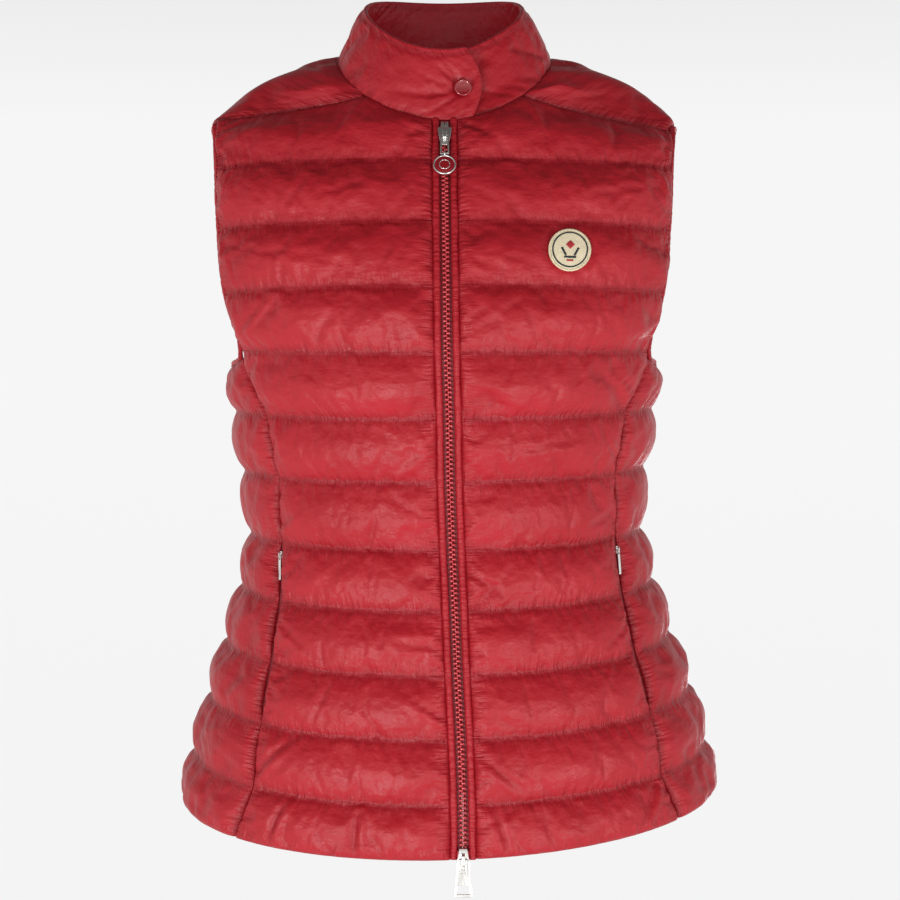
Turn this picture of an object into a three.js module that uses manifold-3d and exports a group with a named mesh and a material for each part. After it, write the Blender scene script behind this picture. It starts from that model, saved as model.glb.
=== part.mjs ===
// A quilted, down-filled sleeveless jacket, worn upright with nobody inside it.
// Millimetres. +Z is up, the wearer faces -Y, and +X is the wearer's left. The origin is the middle of the
// neck at the height where the shoulders carry the jacket, so almost all of it hangs below Z = 0.
//
// Every padded panel is lofted through its stitch lines. A stitch line has a level: 0 is the forward shoulder
// seam, 1 to 11 are the lines of quilting, and 12 is the hem. Between two lines the wall swells with down.
import * as THREE from "three";
import { mergeVertices } from "three/addons/utils/BufferGeometryUtils.js";
import Module from "manifold-3d";

// ---- Driving sizes ----
const HEM = 12; // level of the hem
const UNDERARM = 4; // level of the lowest point of the armholes
const SEAM_GAP = 0.3; // half of the gap between two panels that are sewn together
const STITCHED_WALL = 2.4; // thickness of a wall where it is stitched flat
const PUFF_OUT = 6.5; // how far a channel swells outwards between two stitch lines
const PUFF_IN = 2.5; // and inwards
const BINDING_WIDTH = 3.6; // elastic binding round each armhole
const PUFF_STEPS = [0, 0.28, 0.72]; // sections of each channel, as shares of its height

// One row for each closed ring, in mm and degrees. z: height at centre front. front, back: depth of centre
// front and back from the side plane. half: half width. rise: climb of the line from the front to the side.
// seam, backSeam: angle of the two side-panel seams from centre front. lean: shift of the ring's middle.
// tilt: how much higher the line is on the wearer's left. turn: how far the ring is turned about the body.
const RINGS = [
  { level: 4, z: -211.5, front: 118, back: 102, half: 154, rise: 5, seam: 68, backSeam: 112, lean: 0, tilt: 0, turn: 0.9 },
  { level: 5, z: -256, front: 112, back: 95, half: 149, rise: 6, seam: 57, backSeam: 117, lean: 0, tilt: 1, turn: 1.4 },
  { level: 6, z: -299.5, front: 104, back: 85, half: 143, rise: 7, seam: 55, backSeam: 118, lean: 0, tilt: 1.5, turn: 1.7 },
  { level: 7, z: -346.5, front: 101, back: 79, half: 139.5, rise: 9, seam: 57, backSeam: 118, lean: 1, tilt: 1.5, turn: 2 },
  { level: 8, z: -388, front: 105, back: 84, half: 147, rise: 13, seam: 54.5, backSeam: 118, lean: 2, tilt: 2, turn: 2.2 },
  { level: 9, z: -431.5, front: 110, back: 94, half: 159, rise: 17, seam: 53, backSeam: 118, lean: 3, tilt: 2.5, turn: 2.3 },
  { level: 10, z: -474.5, front: 115, back: 103, half: 172, rise: 21, seam: 52, backSeam: 118, lean: 4, tilt: 3, turn: 2.5 },
  { level: 11, z: -518, front: 119, back: 109, half: 184, rise: 24, seam: 50.5, backSeam: 118, lean: 4, tilt: 3.5, turn: 2.8 },
  { level: 12, z: -554.5, front: 121, back: 112, half: 191, rise: 27, seam: 54, backSeam: 118, lean: 4, tilt: 5.5, turn: 2.8 },
];

// Lines above the underarm end at the armholes. z, depth: the line at centre front or back. edge: its end at
// the armhole. shift: how far the line's middle lies to the wearer's left.
const CHEST = [
  { level: 1, z: -78, depth: 78, edge: [163, -30, -80], shift: 0.8 },
  { level: 2, z: -122, depth: 98, edge: [160, -43, -124], shift: 1.2 },
  { level: 3, z: -166.5, depth: 113, edge: [155, -50, -168], shift: 1.8 },
];
const SHOULDER_BLADES = [
  { level: 0, z: -34, depth: 80, edge: [165, 27, -57], crowd: 1 },
  { level: 1, z: -76, depth: 92, edge: [161, 40, -86], crowd: 0.6 },
  { level: 2, z: -120, depth: 100, edge: [156, 50, -128], crowd: 0.25 },
  { level: 3, z: -165, depth: 104, edge: [155, 53, -170], crowd: 0 },
];
const CHEST_ARC = rad(68); // angle that the open lines turn through, from the middle to the armhole
const BACK_ARC = rad(66);

// Neckline and shoulders.
const NECK = { half: 76, depth: 62, middle: -21, tilt: 27, crown: 21 }; // ring that the collar is sewn to
const SHOULDER_NECK_ANGLE = rad(45); // where the forward shoulder seam meets the neckline
const SHOULDER_TIP = [164, -8, -46]; // front end of the forward seam, at the armhole
const SHOULDER_DROP = 4; // how much lower it is on the wearer's left, and higher on the right
const SHOULDER_SAG = 3; // dip of the seam between its ends

// Two more lines between the back's upper edge and its highest line of quilting, from the middle of the back
// round to the armhole. share: distance along. The first lies close behind the edge, the second on the crest.
const BEHIND_EDGE = [
  { share: 0, at: [0, 73, -12] },
  { share: 0.17, at: [61, 55, -5] },
  { share: 0.35, at: [90, 6, -6] },
  { share: 0.52, at: [85, -26, -23] },
  { share: 0.76, at: [121, -15, -33] },
  { share: 1, at: [168, 2, -46] },
];
const CREST = [
  { share: 0, at: [0, 77, -21] },
  { share: 0.17, at: [64, 66, -18] },
  { share: 0.35, at: [101, 33, -14] },
  { share: 0.52, at: [112, 11, -16] },
  { share: 0.76, at: [139, 11, -28] },
  { share: 1, at: [169, 14, -51] },
];
const NECK_SHARE = 0.34; // share of the front's top edge that is neckline
const BACK_NECK_SHARE = 0.52; // share of the back's top edge that is neckline

// Front fastening: a two-way zip between two narrow welts.
const ZIP = { halfGap: 8.4, welt: [3.9, 7.9], tape: [0.4, 7.9], chain: 3.6, chainThick: 1.8 };
const CHAIN = { start: 0.75, end: 11.86 }; // levels where the row of teeth starts and ends
const SLIDER_TOP_LEVEL = 0.54; // where the two sliders sit, as levels down the front
const SLIDER_BOTTOM_LEVEL = 11.98;
const SLIDER = { length: 15, wide: 9.6, narrow: 5.4, thick: 2.4, lift: 2.8 };
const BRIDGE = { span: 4.2, leg: 1.1, inside: 2.5, top: 3.6, width: 2.4 }; // arch that the pull hangs from
const LINK = { half: 3.1, length: 16, bar: 1.4 };
const PUCK = { radius: 8, thick: 2.6, eye: 1.75, wire: 0.5 };
const TAB = { top: 3.5, bottom: 6.2, drop: 25, body: 8.5 }; // half widths; full length; end of its eye

// Collar: a padded band, open in front, whose wearer's-right end laps over the left one.
const COLLAR = {
  topHalf: 56, topDepth: 58, topMiddleY: 0, topMiddle: 28, topTilt: 26, topCrown: 12, // its upper edge's ring
  belly: -1, // how far the band bows outwards half way up; negative where it hollows in
  seat: 1.9, // gap from the neckline seam to its lower edge, up the band
  edgeWall: 2.6, fullWall: 7, // thickness at the seam and in the middle
  overEnd: 16, overBulge: 8, underEnd: 5, // degrees from the middle
  inset: 8.5, insetFades: 50, // how far the under end is set back, mm, and degrees until it is not
  footInset: 3.6, // and how far at its foot
};
const SNAP = { angle: 11, share: 0.42, radius: 6.1, thick: 2.2 }; // press-stud cap on the collar's over end

// Badge on the wearer's left chest, and the pockets in the side-panel seams.
const BADGE = { level: 2.47, share: 0.4, radius: 15.5, thick: 1.2, clear: 0.3 };
const POCKET = {
  from: 6.9, to: 9.87, gap: 1.7, tape: 3.2, // levels of the mouth's ends, its half width, and the strip's width
  sliderLevel: 7.2, slider: [2.6, 5, 1.4], bar: [2.4, 18, 0.8], // width, length, thickness
  bridge: { span: 1.7, leg: 0.5, inside: 1.5, top: 2, width: 0.9 },
};

const COLOURS = {
  shell: [0x9c1420, 0.55, 0], trim: [0x86101a, 0.7, 0], teeth: [0xa31a24, 0.35, 0.1],
  metal: [0xc9c6c0, 0.22, 1], enamel: [0x9a0f1e, 0.2, 0], badge: [0xe9dcc0, 0.85, 0],
};

// ---- Small helpers ----
function rad(degrees) {
  return (degrees * Math.PI) / 180;
}
const lerp = (a, b, t) => a + (b - a) * t;
const mix = (p, q, t) => p.map((value, k) => lerp(value, q[k], t));
const vec = (p) => new THREE.Vector3(...p);
const clamp01 = (t) => Math.min(1, Math.max(0, t));
const ease = (t) => clamp01(t) ** 2 * (3 - 2 * clamp01(t));

// Cubic through four values at -1, 0, 1 and 2.
function cubic(a, b, c, d, t) {
  const slopeB = (c - a) / 2;
  const slopeC = (d - b) / 2;
  return (
    (2 * t ** 3 - 3 * t ** 2 + 1) * b + (t ** 3 - 2 * t ** 2 + t) * slopeB +
    (3 * t ** 2 - 2 * t ** 3) * c + (t ** 3 - t ** 2) * slopeC
  );
}

// A point of the smooth surface through a list of row curves: v counts rows, s runs along each.
function loft(rows, v, s) {
  const i = Math.min(rows.length - 2, Math.max(0, Math.floor(v)));
  const at = (k) => rows[Math.min(rows.length - 1, Math.max(0, k))](s);
  const [a, b, c, d] = [at(i - 1), at(i), at(i + 1), at(i + 2)];
  const before = i === 0 ? b.map((value, k) => 2 * value - c[k]) : a;
  const after = i === rows.length - 2 ? c.map((value, k) => 2 * value - b[k]) : d;
  return b.map((value, k) => cubic(before[k], value, c[k], after[k], v - i));
}

// ---- The jacket's form ----
const ringRow = (level) => RINGS.find((row) => row.level === level);

// A point on the closed ring of a whole level, at an angle from centre front towards the wearer's left.
function ringPoint(row, degrees) {
  const angle = rad(degrees + row.turn);
  const depth = Math.cos(angle) > 0 ? row.front : row.back;
  const z = row.z + row.rise * (1 - Math.abs(Math.cos(angle))) + row.tilt * Math.sin(angle);
  return [row.lean + row.half * Math.sin(angle), -depth * Math.cos(angle), z];
}

// The neckline, angle 0 at centre front.
function neckPoint(angle) {
  const z = NECK.middle - NECK.tilt * Math.cos(angle) + NECK.crown * Math.sin(angle) ** 2;
  return [NECK.half * Math.sin(angle), -NECK.depth * Math.cos(angle), z];
}

// An open line from the middle (share 0) to the armhole (share 1), on the side given by sign.
function openLine(row, sign, share, arc) {
  const across = Math.sin(arc * share) / Math.sin(arc);
  const round = (1 - Math.cos(arc * share)) / (1 - Math.cos(arc));
  const middle = Math.sign(row.edge[1]) * row.depth;
  return [
    sign * row.edge[0] * across + (row.shift ?? 0) * (1 - round),
    lerp(middle, row.edge[1], round),
    lerp(row.z, row.edge[2], round),
  ];
}

const frontNeckPoint = vec(neckPoint(SHOULDER_NECK_ANGLE)).toArray();

// The forward shoulder seam: share 0 at the neckline, 1 at the armhole.
function shoulderSeam(sign, share) {
  const [x, y, z] = mix(frontNeckPoint, SHOULDER_TIP, share);
  return [sign * x, y, z - SHOULDER_SAG * Math.sin(Math.PI * share) - sign * SHOULDER_DROP * share];
}

// Share 0 is the edge beside the zip, which keeps its distance from the middle at every level.
const zipAngle = (half) => Math.asin(ZIP.halfGap / half);

function frontRow(level, sign) {
  if (level === 0)
    return (s) => {
      const start = zipAngle(NECK.half);
      if (s < NECK_SHARE) {
        const angle = lerp(start, SHOULDER_NECK_ANGLE, s / NECK_SHARE);
        const [x, y, z] = neckPoint(angle);
        return [sign * x + 0.6, y, z];
      }
      return shoulderSeam(sign, (s - NECK_SHARE) / (1 - NECK_SHARE));
    };
  if (level < UNDERARM) {
    const row = CHEST[level - 1];
    const start = (ZIP.halfGap / row.edge[0]) * (Math.sin(CHEST_ARC) / CHEST_ARC);
    return (s) => openLine(row, sign, lerp(start, 1, s), CHEST_ARC);
  }
  const row = ringRow(level);
  const start = (zipAngle(row.half) * 180) / Math.PI;
  return (s) => ringPoint(row, sign * lerp(start, row.seam, s));
}

// Row 0 runs straight across the armhole, and the panel hangs from row 1, the underarm.
function sideRow(level, sign) {
  if (level < UNDERARM)
    return (s) => mix(frontRow(level, sign)(1), backRow(level)(sign), s);
  const row = ringRow(level);
  return (s) => ringPoint(row, sign * lerp(row.seam, row.backSeam, s));
}

// Share -1 is the wearer's right armhole or seam, and 1 the left one.
function backRow(level) {
  if (level >= UNDERARM) {
    const row = ringRow(level);
    return (s) => ringPoint(row, 180 - s * (180 - row.backSeam));
  }
  const row = SHOULDER_BLADES[level];
  // Near the top the shares crowd outwards, to leave room for the ones that fan out from the neck.
  const crowd = (share) => share * (1 + row.crowd * Math.max(0, 1 - share) ** 1.2);
  return (s) => openLine(row, Math.sign(s) || 1, crowd(Math.abs(s)), BACK_ARC);
}

// The back's upper edge runs along both forward shoulder seams and round the back of the neck.
function backTop(s) {
  const sign = Math.sign(s) || 1;
  const share = Math.abs(s);
  if (share > BACK_NECK_SHARE)
    return shoulderSeam(sign, (share - BACK_NECK_SHARE) / (1 - BACK_NECK_SHARE));
  const [x, y, z] = neckPoint(lerp(Math.PI, SHOULDER_NECK_ANGLE, share / BACK_NECK_SHARE));
  return [sign * x, y, z];
}

// A smooth line through a table's points, mirrored for negative shares.
function tableLine(table, s) {
  const share = Math.min(1, Math.abs(s));
  const i = Math.min(table.length - 2, table.findLastIndex((row) => row.share <= share));
  const [b, c] = [table[i].at, table[i + 1].at];
  const a = i === 0 ? [-c[0], c[1], c[2]] : table[i - 1].at;
  const d = table[i + 2]?.at ?? c.map((value, k) => 2 * value - b[k]);
  const t = (share - table[i].share) / (table[i + 1].share - table[i].share);
  const [x, y, z] = b.map((value, k) => cubic(a[k], value, c[k], d[k], t));
  return [Math.sign(s) * x, y, z];
}

const wholeLevels = (from) => Array.from({ length: HEM - from + 1 }, (_, k) => from + k);
const FRONT = { "-1": wholeLevels(0).map((k) => frontRow(k, -1)), 1: wholeLevels(0).map((k) => frontRow(k, 1)) };
const SIDE = {
  "-1": wholeLevels(UNDERARM - 1).map((k) => sideRow(k, -1)),
  1: wholeLevels(UNDERARM - 1).map((k) => sideRow(k, 1)),
};
const BACK = [
  backTop, (s) => tableLine(BEHIND_EDGE, s), (s) => tableLine(CREST, s), ...wholeLevels(0).map((k) => backRow(k)),
];
const BACK_START = 3; // row of level 0

// A point of a lofted form with its outward normal, and the unit directions along s and v.
function frameOf(rows, v, s, outward) {
  const step = 0.004;
  const here = vec(loft(rows, v, s));
  const alongS = vec(loft(rows, v, s + step)).sub(vec(loft(rows, v, s - step)));
  const alongV = vec(loft(rows, v + step, s)).sub(vec(loft(rows, v - step, s)));
  const normal = alongS.clone().cross(alongV).normalize().multiplyScalar(outward);
  return { here, normal, alongS: alongS.normalize(), alongV: alongV.normalize() };
}

// ---- Building closed walls ----
// A closed solid between an outer and an inner grid of points of the same size.
function wallBetween(outer, inner) {
  const rows = outer.length;
  const columns = outer[0].length;
  const points = [...outer.flat(), ...inner.flat()];
  const faces = [];
  const quad = (a, b, c, d) => faces.push(a, b, c, a, c, d);
  const out = (i, j) => i * columns + j;
  const into = (i, j) => rows * columns + i * columns + j;
  for (let i = 0; i < rows - 1; i++)
    for (let j = 0; j < columns - 1; j++) {
      quad(out(i, j), out(i + 1, j), out(i + 1, j + 1), out(i, j + 1));
      quad(into(i, j), into(i, j + 1), into(i + 1, j + 1), into(i + 1, j));
    }
  for (let i = 0; i < rows - 1; i++) {
    quad(out(i, 0), into(i, 0), into(i + 1, 0), out(i + 1, 0));
    quad(out(i, columns - 1), out(i + 1, columns - 1), into(i + 1, columns - 1), into(i, columns - 1));
  }
  for (let j = 0; j < columns - 1; j++) {
    quad(out(0, j), out(0, j + 1), into(0, j + 1), into(0, j));
    quad(out(rows - 1, j), into(rows - 1, j), into(rows - 1, j + 1), out(rows - 1, j + 1));
  }
  return solidFrom(points, faces);
}

// A closed band whose sections are joined end to end in a loop.
function loopOf(sections) {
  const size = sections[0].length;
  const faces = [];
  sections.forEach((_, i) => {
    const next = (i + 1) % sections.length;
    for (let j = 0; j < size; j++) {
      const k = (j + 1) % size;
      faces.push(i * size + j, next * size + j, next * size + k, i * size + j, next * size + k, i * size + k);
    }
  });
  return solidFrom(sections.flat(), faces);
}

// A geometry from points and triangles, turned round if it came out inside out.
function solidFrom(points, faces) {
  const geometry = new THREE.BufferGeometry();
  geometry.setAttribute("position", new THREE.Float32BufferAttribute(points.flatMap((p) => p.toArray()), 3));
  let volume = 0;
  for (let i = 0; i < faces.length; i += 3) {
    const [a, b, c] = [points[faces[i]], points[faces[i + 1]], points[faces[i + 2]]];
    volume += a.dot(b.clone().cross(c));
  }
  geometry.setIndex(volume > 0 ? faces : faces.flatMap((_, i) => (i % 3 ? [] : [faces[i], faces[i + 2], faces[i + 1]])));
  geometry.computeVertexNormals();
  return geometry;
}

// How full a channel is at a share of its height: nothing at its stitch lines and 1 in its middle.
const fullness = (share) => 1 - Math.abs(2 * share - 1) ** 2.3;

// How much of the padding is left near a sewn edge, so many mm away.
const padding = (distance) => 0.1 + 0.9 * Math.sqrt(1 - (1 - clamp01(distance / 15)) ** 2);

// Sections of one padded panel. channels: [first row, last row] of each channel, in loft rows.
function panelRows(channels) {
  const rows = channels.flatMap(([from, to]) =>
    PUFF_STEPS.map((share) => ({ v: lerp(from, to, share), full: fullness(share) })));
  return [...rows, { v: channels.at(-1)[1], full: 0 }];
}

// A padded wall over a loft. trim(v) gives how many mm each end of the row stops short of the outline, and
// topTrim how far the first row does.
function paddedPanel({ rows, channels, shares, outward, trim, topTrim, top = () => 0, puff = 1, steer }) {
  const outer = [];
  const inner = [];
  for (const { v, full } of panelRows(channels)) {
    const [from, to] = [shares[0], shares.at(-1)];
    const speed = (s) => vec(loft(rows, v, s)).distanceTo(vec(loft(rows, v, s + 0.02 * (s > 0 ? -1 : 1)))) / 0.02;
    const [cutFrom, cutTo] = trim(v);
    const start = from + cutFrom / speed(from);
    const end = to - cutTo / speed(to);
    const line = shares.map((s) => {
      const share = lerp(start, end, (s - from) / (to - from));
      // The first channel gives up what the edge above it needs.
      const pushed = v < channels[0][1] ? lerp(channels[0][1], v, 1 - top(share)) : v;
      const level = v === channels[0][0] ? pushed + topTrim : pushed;
      const { here, normal: square } = frameOf(rows, level, share, outward);
      const normal = steer ? steer(level, here, square) : square;
      const edge = Math.min((share - start) * speed(from), (end - share) * speed(to));
      const swell = full * padding(edge) * puff;
      return {
        out: here.clone().addScaledVector(normal, STITCHED_WALL / 2 + PUFF_OUT * swell),
        in: here.clone().addScaledVector(normal, -STITCHED_WALL / 2 - PUFF_IN * swell),
      };
    });
    outer.push(line.map((p) => p.out));
    inner.push(line.map((p) => p.in));
  }
  return wallBetween(outer, inner);
}

// ---- Assembly ----
const jacket = new THREE.Group();
const materials = Object.fromEntries(Object.entries(COLOURS).map(([name, [color, roughness, metalness]]) =>
  [name, new THREE.MeshStandardMaterial({ color, roughness, metalness })]));

function add(name, geometry, material, parent = jacket) {
  const mesh = new THREE.Mesh(geometry, materials[material]);
  mesh.name = name;
  parent.add(mesh);
  return mesh;
}

const evenChannels = (from, to) => Array.from({ length: to - from }, (_, k) => [from + k, from + k + 1]);
const SIDES = [["right", -1], ["left", 1]];

// Room that an edge leaves beside it: for the armhole's binding above the underarm, and for the pocket below.
const bindingRoom = (level) => lerp(BINDING_WIDTH + 4 * SEAM_GAP, SEAM_GAP, ease((level - UNDERARM + 0.25) / 0.5));
const mouthRoom = (level) =>
  SEAM_GAP + POCKET.gap * ease((level - POCKET.from) / 0.15) * ease((POCKET.to - level) / 0.15);

function fronts() {
  const shares = [0, 0.07, 0.22, 0.4, 0.58, 0.76, 0.93, 1];
  for (const [side, sign] of SIDES)
    add(`front_${side}`, paddedPanel({
      rows: FRONT[sign], channels: evenChannels(0, HEM), shares, outward: -sign,
      trim: (v) => [SEAM_GAP, Math.max(bindingRoom(v), mouthRoom(v))], topTrim: 0.04,
    }), "shell");
}

// The side panels' upper edge is the bottom of the armhole, which dips in the middle by a share of a channel.
const dipOf = (share) => 0.1 + 0.2 * Math.sin(Math.PI * clamp01(share));

function sides() {
  const shares = [0, 0.12, 0.36, 0.64, 0.88, 1];
  for (const [side, sign] of SIDES)
    add(`side_${side}`, paddedPanel({
      rows: SIDE[sign], channels: evenChannels(1, HEM - UNDERARM + 1), shares, outward: -sign,
      trim: (v) => [mouthRoom(v + UNDERARM - 1), SEAM_GAP], topTrim: 0, top: dipOf, puff: 0.85,
    }), "shell");
}

// Over the shoulders the padding swells away from the middle of the shoulder, not square to each facet.
function overShoulder(v, here, square) {
  const middle = new THREE.Vector3(0.75 * here.x, 5, -70);
  return here.clone().sub(middle).normalize().lerp(square, ease((v - BACK_START + 0.6) / 1.2)).normalize();
}

function back() {
  const shares = [-1, -0.94, -0.75, -0.52, -0.4, -0.28, -0.14, 0, 0.14, 0.28, 0.4, 0.52, 0.75, 0.94, 1];
  const room = (v) => bindingRoom(v - BACK_START);
  add("back", paddedPanel({
    rows: BACK, channels: [[0, BACK_START], ...evenChannels(BACK_START, HEM + BACK_START)], shares, outward: 1,
    trim: (v) => [room(v), room(v)], topTrim: 0.03, steer: overShoulder,
  }), "shell");
}

// ---- Armhole bindings ----
// A loop that follows the cut edges of the front, side and back panels. Each section is a rounded strip.
function armholePath(sign) {
  const middle = BINDING_WIDTH / 2;
  const stations = [];
  const along = (rows, v, s, inward) => {
    const frame = frameOf(rows, v, s, 1);
    if (rows === BACK) frame.normal = overShoulder(v, frame.here, frame.normal);
    stations.push({ ...frame, into: inward(frame) });
  };
  for (const v of [0.12, 0.5, 1, 1.5, 2, 2.5, 3, 3.4, 3.72])
    along(FRONT[sign], v, 1, (f) => f.alongS.clone().negate());
  for (const s of [0.1, 0.3, 0.5, 0.7, 0.9])
    along(SIDE[sign], 1 + dipOf(s), s, (f) => f.alongV.clone());
  for (const v of [3.72, 3.4, 3, 2.5, 2, 1.5, 1, 0.5, 0, -0.8, -1.6, -2.3])
    along(BACK, v + BACK_START, sign, (f) => f.alongS.clone().multiplyScalar(-sign));
  return stations.map(({ here, into, normal }, i) => {
    const onSide = i > 8 && i < 14;
    const centre = here.clone().addScaledVector(into, onSide ? -middle - 2 * SEAM_GAP : middle);
    const outwards = normal.x * sign < 0 ? normal.clone().negate() : normal;
    return { centre, into, outwards };
  });
}

function bindings() {
  const section = [[-1, -0.5], [-0.55, -1], [0.6, -1], [1, -0.75], [1, 0.75], [0.6, 1], [-0.55, 1], [-1, 0.5]];
  const [halfWidth, halfThick] = [BINDING_WIDTH / 2, STITCHED_WALL / 2 + 0.5];
  for (const [side, sign] of SIDES) {
    const sections = armholePath(sign).map(({ centre, into, outwards }) =>
      section.map(([w, t]) =>
        centre.clone().addScaledVector(into, w * halfWidth).addScaledVector(outwards, t * halfThick)));
    add(`armhole_binding_${side}`, loopOf(sections), "trim");
  }
}

// ---- Front fastening ----
// The line down the middle of the zip, with the direction up it and the direction out of the jacket.
function zipLine(v) {
  const step = 0.05;
  const middle = (level) => vec(mix(loft(FRONT[-1], level, 0), loft(FRONT[1], level, 0), 0.5));
  const here = middle(v);
  const up = middle(Math.max(0, v - step)).sub(middle(Math.min(HEM, v + step)));
  up.x = 0;
  up.normalize();
  const across = new THREE.Vector3(1, 0, 0);
  return { here, up, across, out: up.clone().cross(across).negate() };
}

// A straight-edged strip along the zip. from, to: mm to the wearer's left of its middle. back, front: mm out
// of the jacket. round: how much its front bulges.
function zipStrip({ from, to, back: backFace, front: frontFace, round = 0, start = 0.03, end = HEM }) {
  const steps = 24;
  const outer = [];
  const inner = [];
  for (let i = 0; i <= steps; i++) {
    const { here, across, out } = zipLine(lerp(start, end, i / steps));
    const point = (x, depth) => here.clone().addScaledVector(across, x).addScaledVector(out, depth);
    const places = round ? [[from, 0], [lerp(from, to, 0.5), round], [to, 0]] : [[from, 0], [to, 0]];
    outer.push(places.map(([x, extra]) => point(x, frontFace + extra)));
    inner.push(places.map(([x]) => point(x, backFace)));
  }
  return wallBetween(outer, inner);
}

function zip() {
  for (const [side, sign] of SIDES) {
    const between = (from, to) => ({ from: Math.min(sign * from, sign * to), to: Math.max(sign * from, sign * to) });
    add(`zip_tape_${side}`, zipStrip({ ...between(...ZIP.tape), back: -1.3, front: -0.3 }), "trim");
    add(`zip_welt_${side}`, zipStrip({ ...between(...ZIP.welt), back: 0, front: 1.5, round: 1.5 }), "shell");
  }
  add("zip_chain", zipStrip({
    from: -ZIP.chain / 2, to: ZIP.chain / 2, back: 0.2, front: ZIP.chainThick, start: CHAIN.start, end: CHAIN.end,
  }), "teeth");
}

// ---- Hard pieces ----
const wasm = await Module();
wasm.setup();

function toManifold(geometry) {
  const bare = geometry.clone();
  bare.deleteAttribute("normal");
  bare.deleteAttribute("uv");
  const merged = mergeVertices(bare, 1e-4);
  return new wasm.Manifold(new wasm.Mesh({
    numProp: 3, vertProperties: merged.attributes.position.array, triVerts: new Uint32Array(merged.index.array),
  }));
}

// One solid made by joining several that pass into each other.
function joined(...geometries) {
  const mesh = geometries.map(toManifold).reduce((whole, piece) => whole.add(piece)).getMesh();
  const geometry = new THREE.BufferGeometry();
  geometry.setAttribute("position", new THREE.Float32BufferAttribute(mesh.vertProperties, 3));
  geometry.setIndex([...mesh.triVerts]);
  geometry.computeVertexNormals();
  return geometry;
}

// An outline in x and y, thickened along +Z. windows: outlines cut out of it.
function plate(outline, thick, windows = []) {
  const shape = new THREE.Shape(outline.map((p) => new THREE.Vector2(...p)));
  shape.holes = windows.map((window) => new THREE.Path(window.map((p) => new THREE.Vector2(...p))));
  return new THREE.ExtrudeGeometry(shape, { depth: thick, bevelEnabled: false });
}

// Stands a piece on the zip: its x runs across, its y up the zip, and its z out of the jacket.
function onZip(geometry, level, lift) {
  const { here, up, across, out } = zipLine(level);
  const basis = new THREE.Matrix4().makeBasis(across, up, out);
  return geometry.applyMatrix4(basis.setPosition(here.clone().addScaledVector(out, lift)));
}

// A slider: a shield-shaped body with a bridge over it. wide is the end with two lobes, at +y.
function sliderBody(end) {
  const { length, wide, narrow, thick } = SLIDER;
  const [half, waist, tail] = [wide / 2, wide / 2 - 0.5, narrow / 2];
  const outline = [
    [-half, length * 0.45 * end], [-half * 0.9, length * 0.5 * end], [half * 0.9, length * 0.5 * end],
    [half, length * 0.45 * end], [waist, length * 0.1 * end], [tail, -length * 0.5 * end],
    [-tail, -length * 0.5 * end], [-waist, length * 0.1 * end],
  ];
  const body = plate(end > 0 ? outline.reverse() : outline, thick);
  return joined(body, bridge(BRIDGE).translate(0, 0, thick));
}

// The arch over a slider, which stands on z = 0 and runs along y. The pull's upper bar passes under it.
function bridge({ span, leg, inside, top, width }) {
  const [under, over] = [leg * 0.64, leg];
  const arch = plate([
    [-span, -0.4], [-span + leg, -0.4], [-span + leg, inside - under], [-span + leg + under, inside],
    [span - leg - under, inside], [span - leg, inside - under], [span - leg, -0.4], [span, -0.4],
    [span, top - over], [span - over, top], [-span + over, top], [-span, top - over],
  ], width);
  return arch.rotateX(Math.PI / 2).rotateZ(Math.PI / 2).translate(-width / 2, 0, 0);
}

function zipPulls() {
  const lift = SLIDER.lift;
  const barLift = lift + SLIDER.thick + BRIDGE.inside / 2;
  add("slider_top", onZip(sliderBody(1), SLIDER_TOP_LEVEL, lift), "metal");
  add("slider_bottom", onZip(sliderBody(-1), SLIDER_BOTTOM_LEVEL, lift), "metal");

  const { half, length, bar } = LINK;
  const frame = (h, top, bottom) => [[-h, top], [-h, bottom], [h, bottom], [h, top]];
  const link = plate(
    [[-half, 0.2], [-half + 0.6, bar / 2], [half - 0.6, bar / 2], [half, 0.2], [half, -length - 0.2],
      [half - 0.6, -length - bar / 2], [-half + 0.6, -length - bar / 2], [-half, -length - 0.2]].reverse(),
    bar, [frame(half - bar + 0.3, -bar / 2, -length + bar / 2)],
  );
  add("pull_top", onZip(link, SLIDER_TOP_LEVEL, barLift - bar / 2), "metal");

  const { radius, thick, eye, wire } = PUCK;
  const profile = [[0, 0], [radius - 0.5, 0], [radius, 0.5], [radius, thick - 0.5], [radius - 0.5, thick], [0, thick]];
  const disc = new THREE.LatheGeometry(profile.map((p) => new THREE.Vector2(...p)), 28);
  disc.rotateX(Math.PI / 2).translate(0, -length - eye - radius + 0.3, -thick / 2);
  const ring = new THREE.TorusGeometry(eye, wire, 6, 14).rotateY(Math.PI / 2).translate(0, -length, 0);
  add("puck", onZip(joined(disc, ring), SLIDER_TOP_LEVEL, barLift), "enamel");

  const { top, bottom, drop, body } = TAB;
  const tab = plate(
    [[-top, 0.2], [-top + 0.6, bar / 2], [top - 0.6, bar / 2], [top, 0.2], [bottom, -drop + 1],
      [bottom - 1, -drop], [-bottom + 1, -drop], [-bottom, -drop + 1]].reverse(),
    bar,
    [frame(1.7, -bar / 2, -body), [[-bottom + 2.2, -drop + 8], [-bottom + 1.7, -drop + 2.2],
      [bottom - 1.7, -drop + 2.2], [bottom - 2.2, -drop + 8]]],
  );
  add("pull_bottom", onZip(tab, SLIDER_BOTTOM_LEVEL, barLift - bar / 2), "metal");
}

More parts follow.
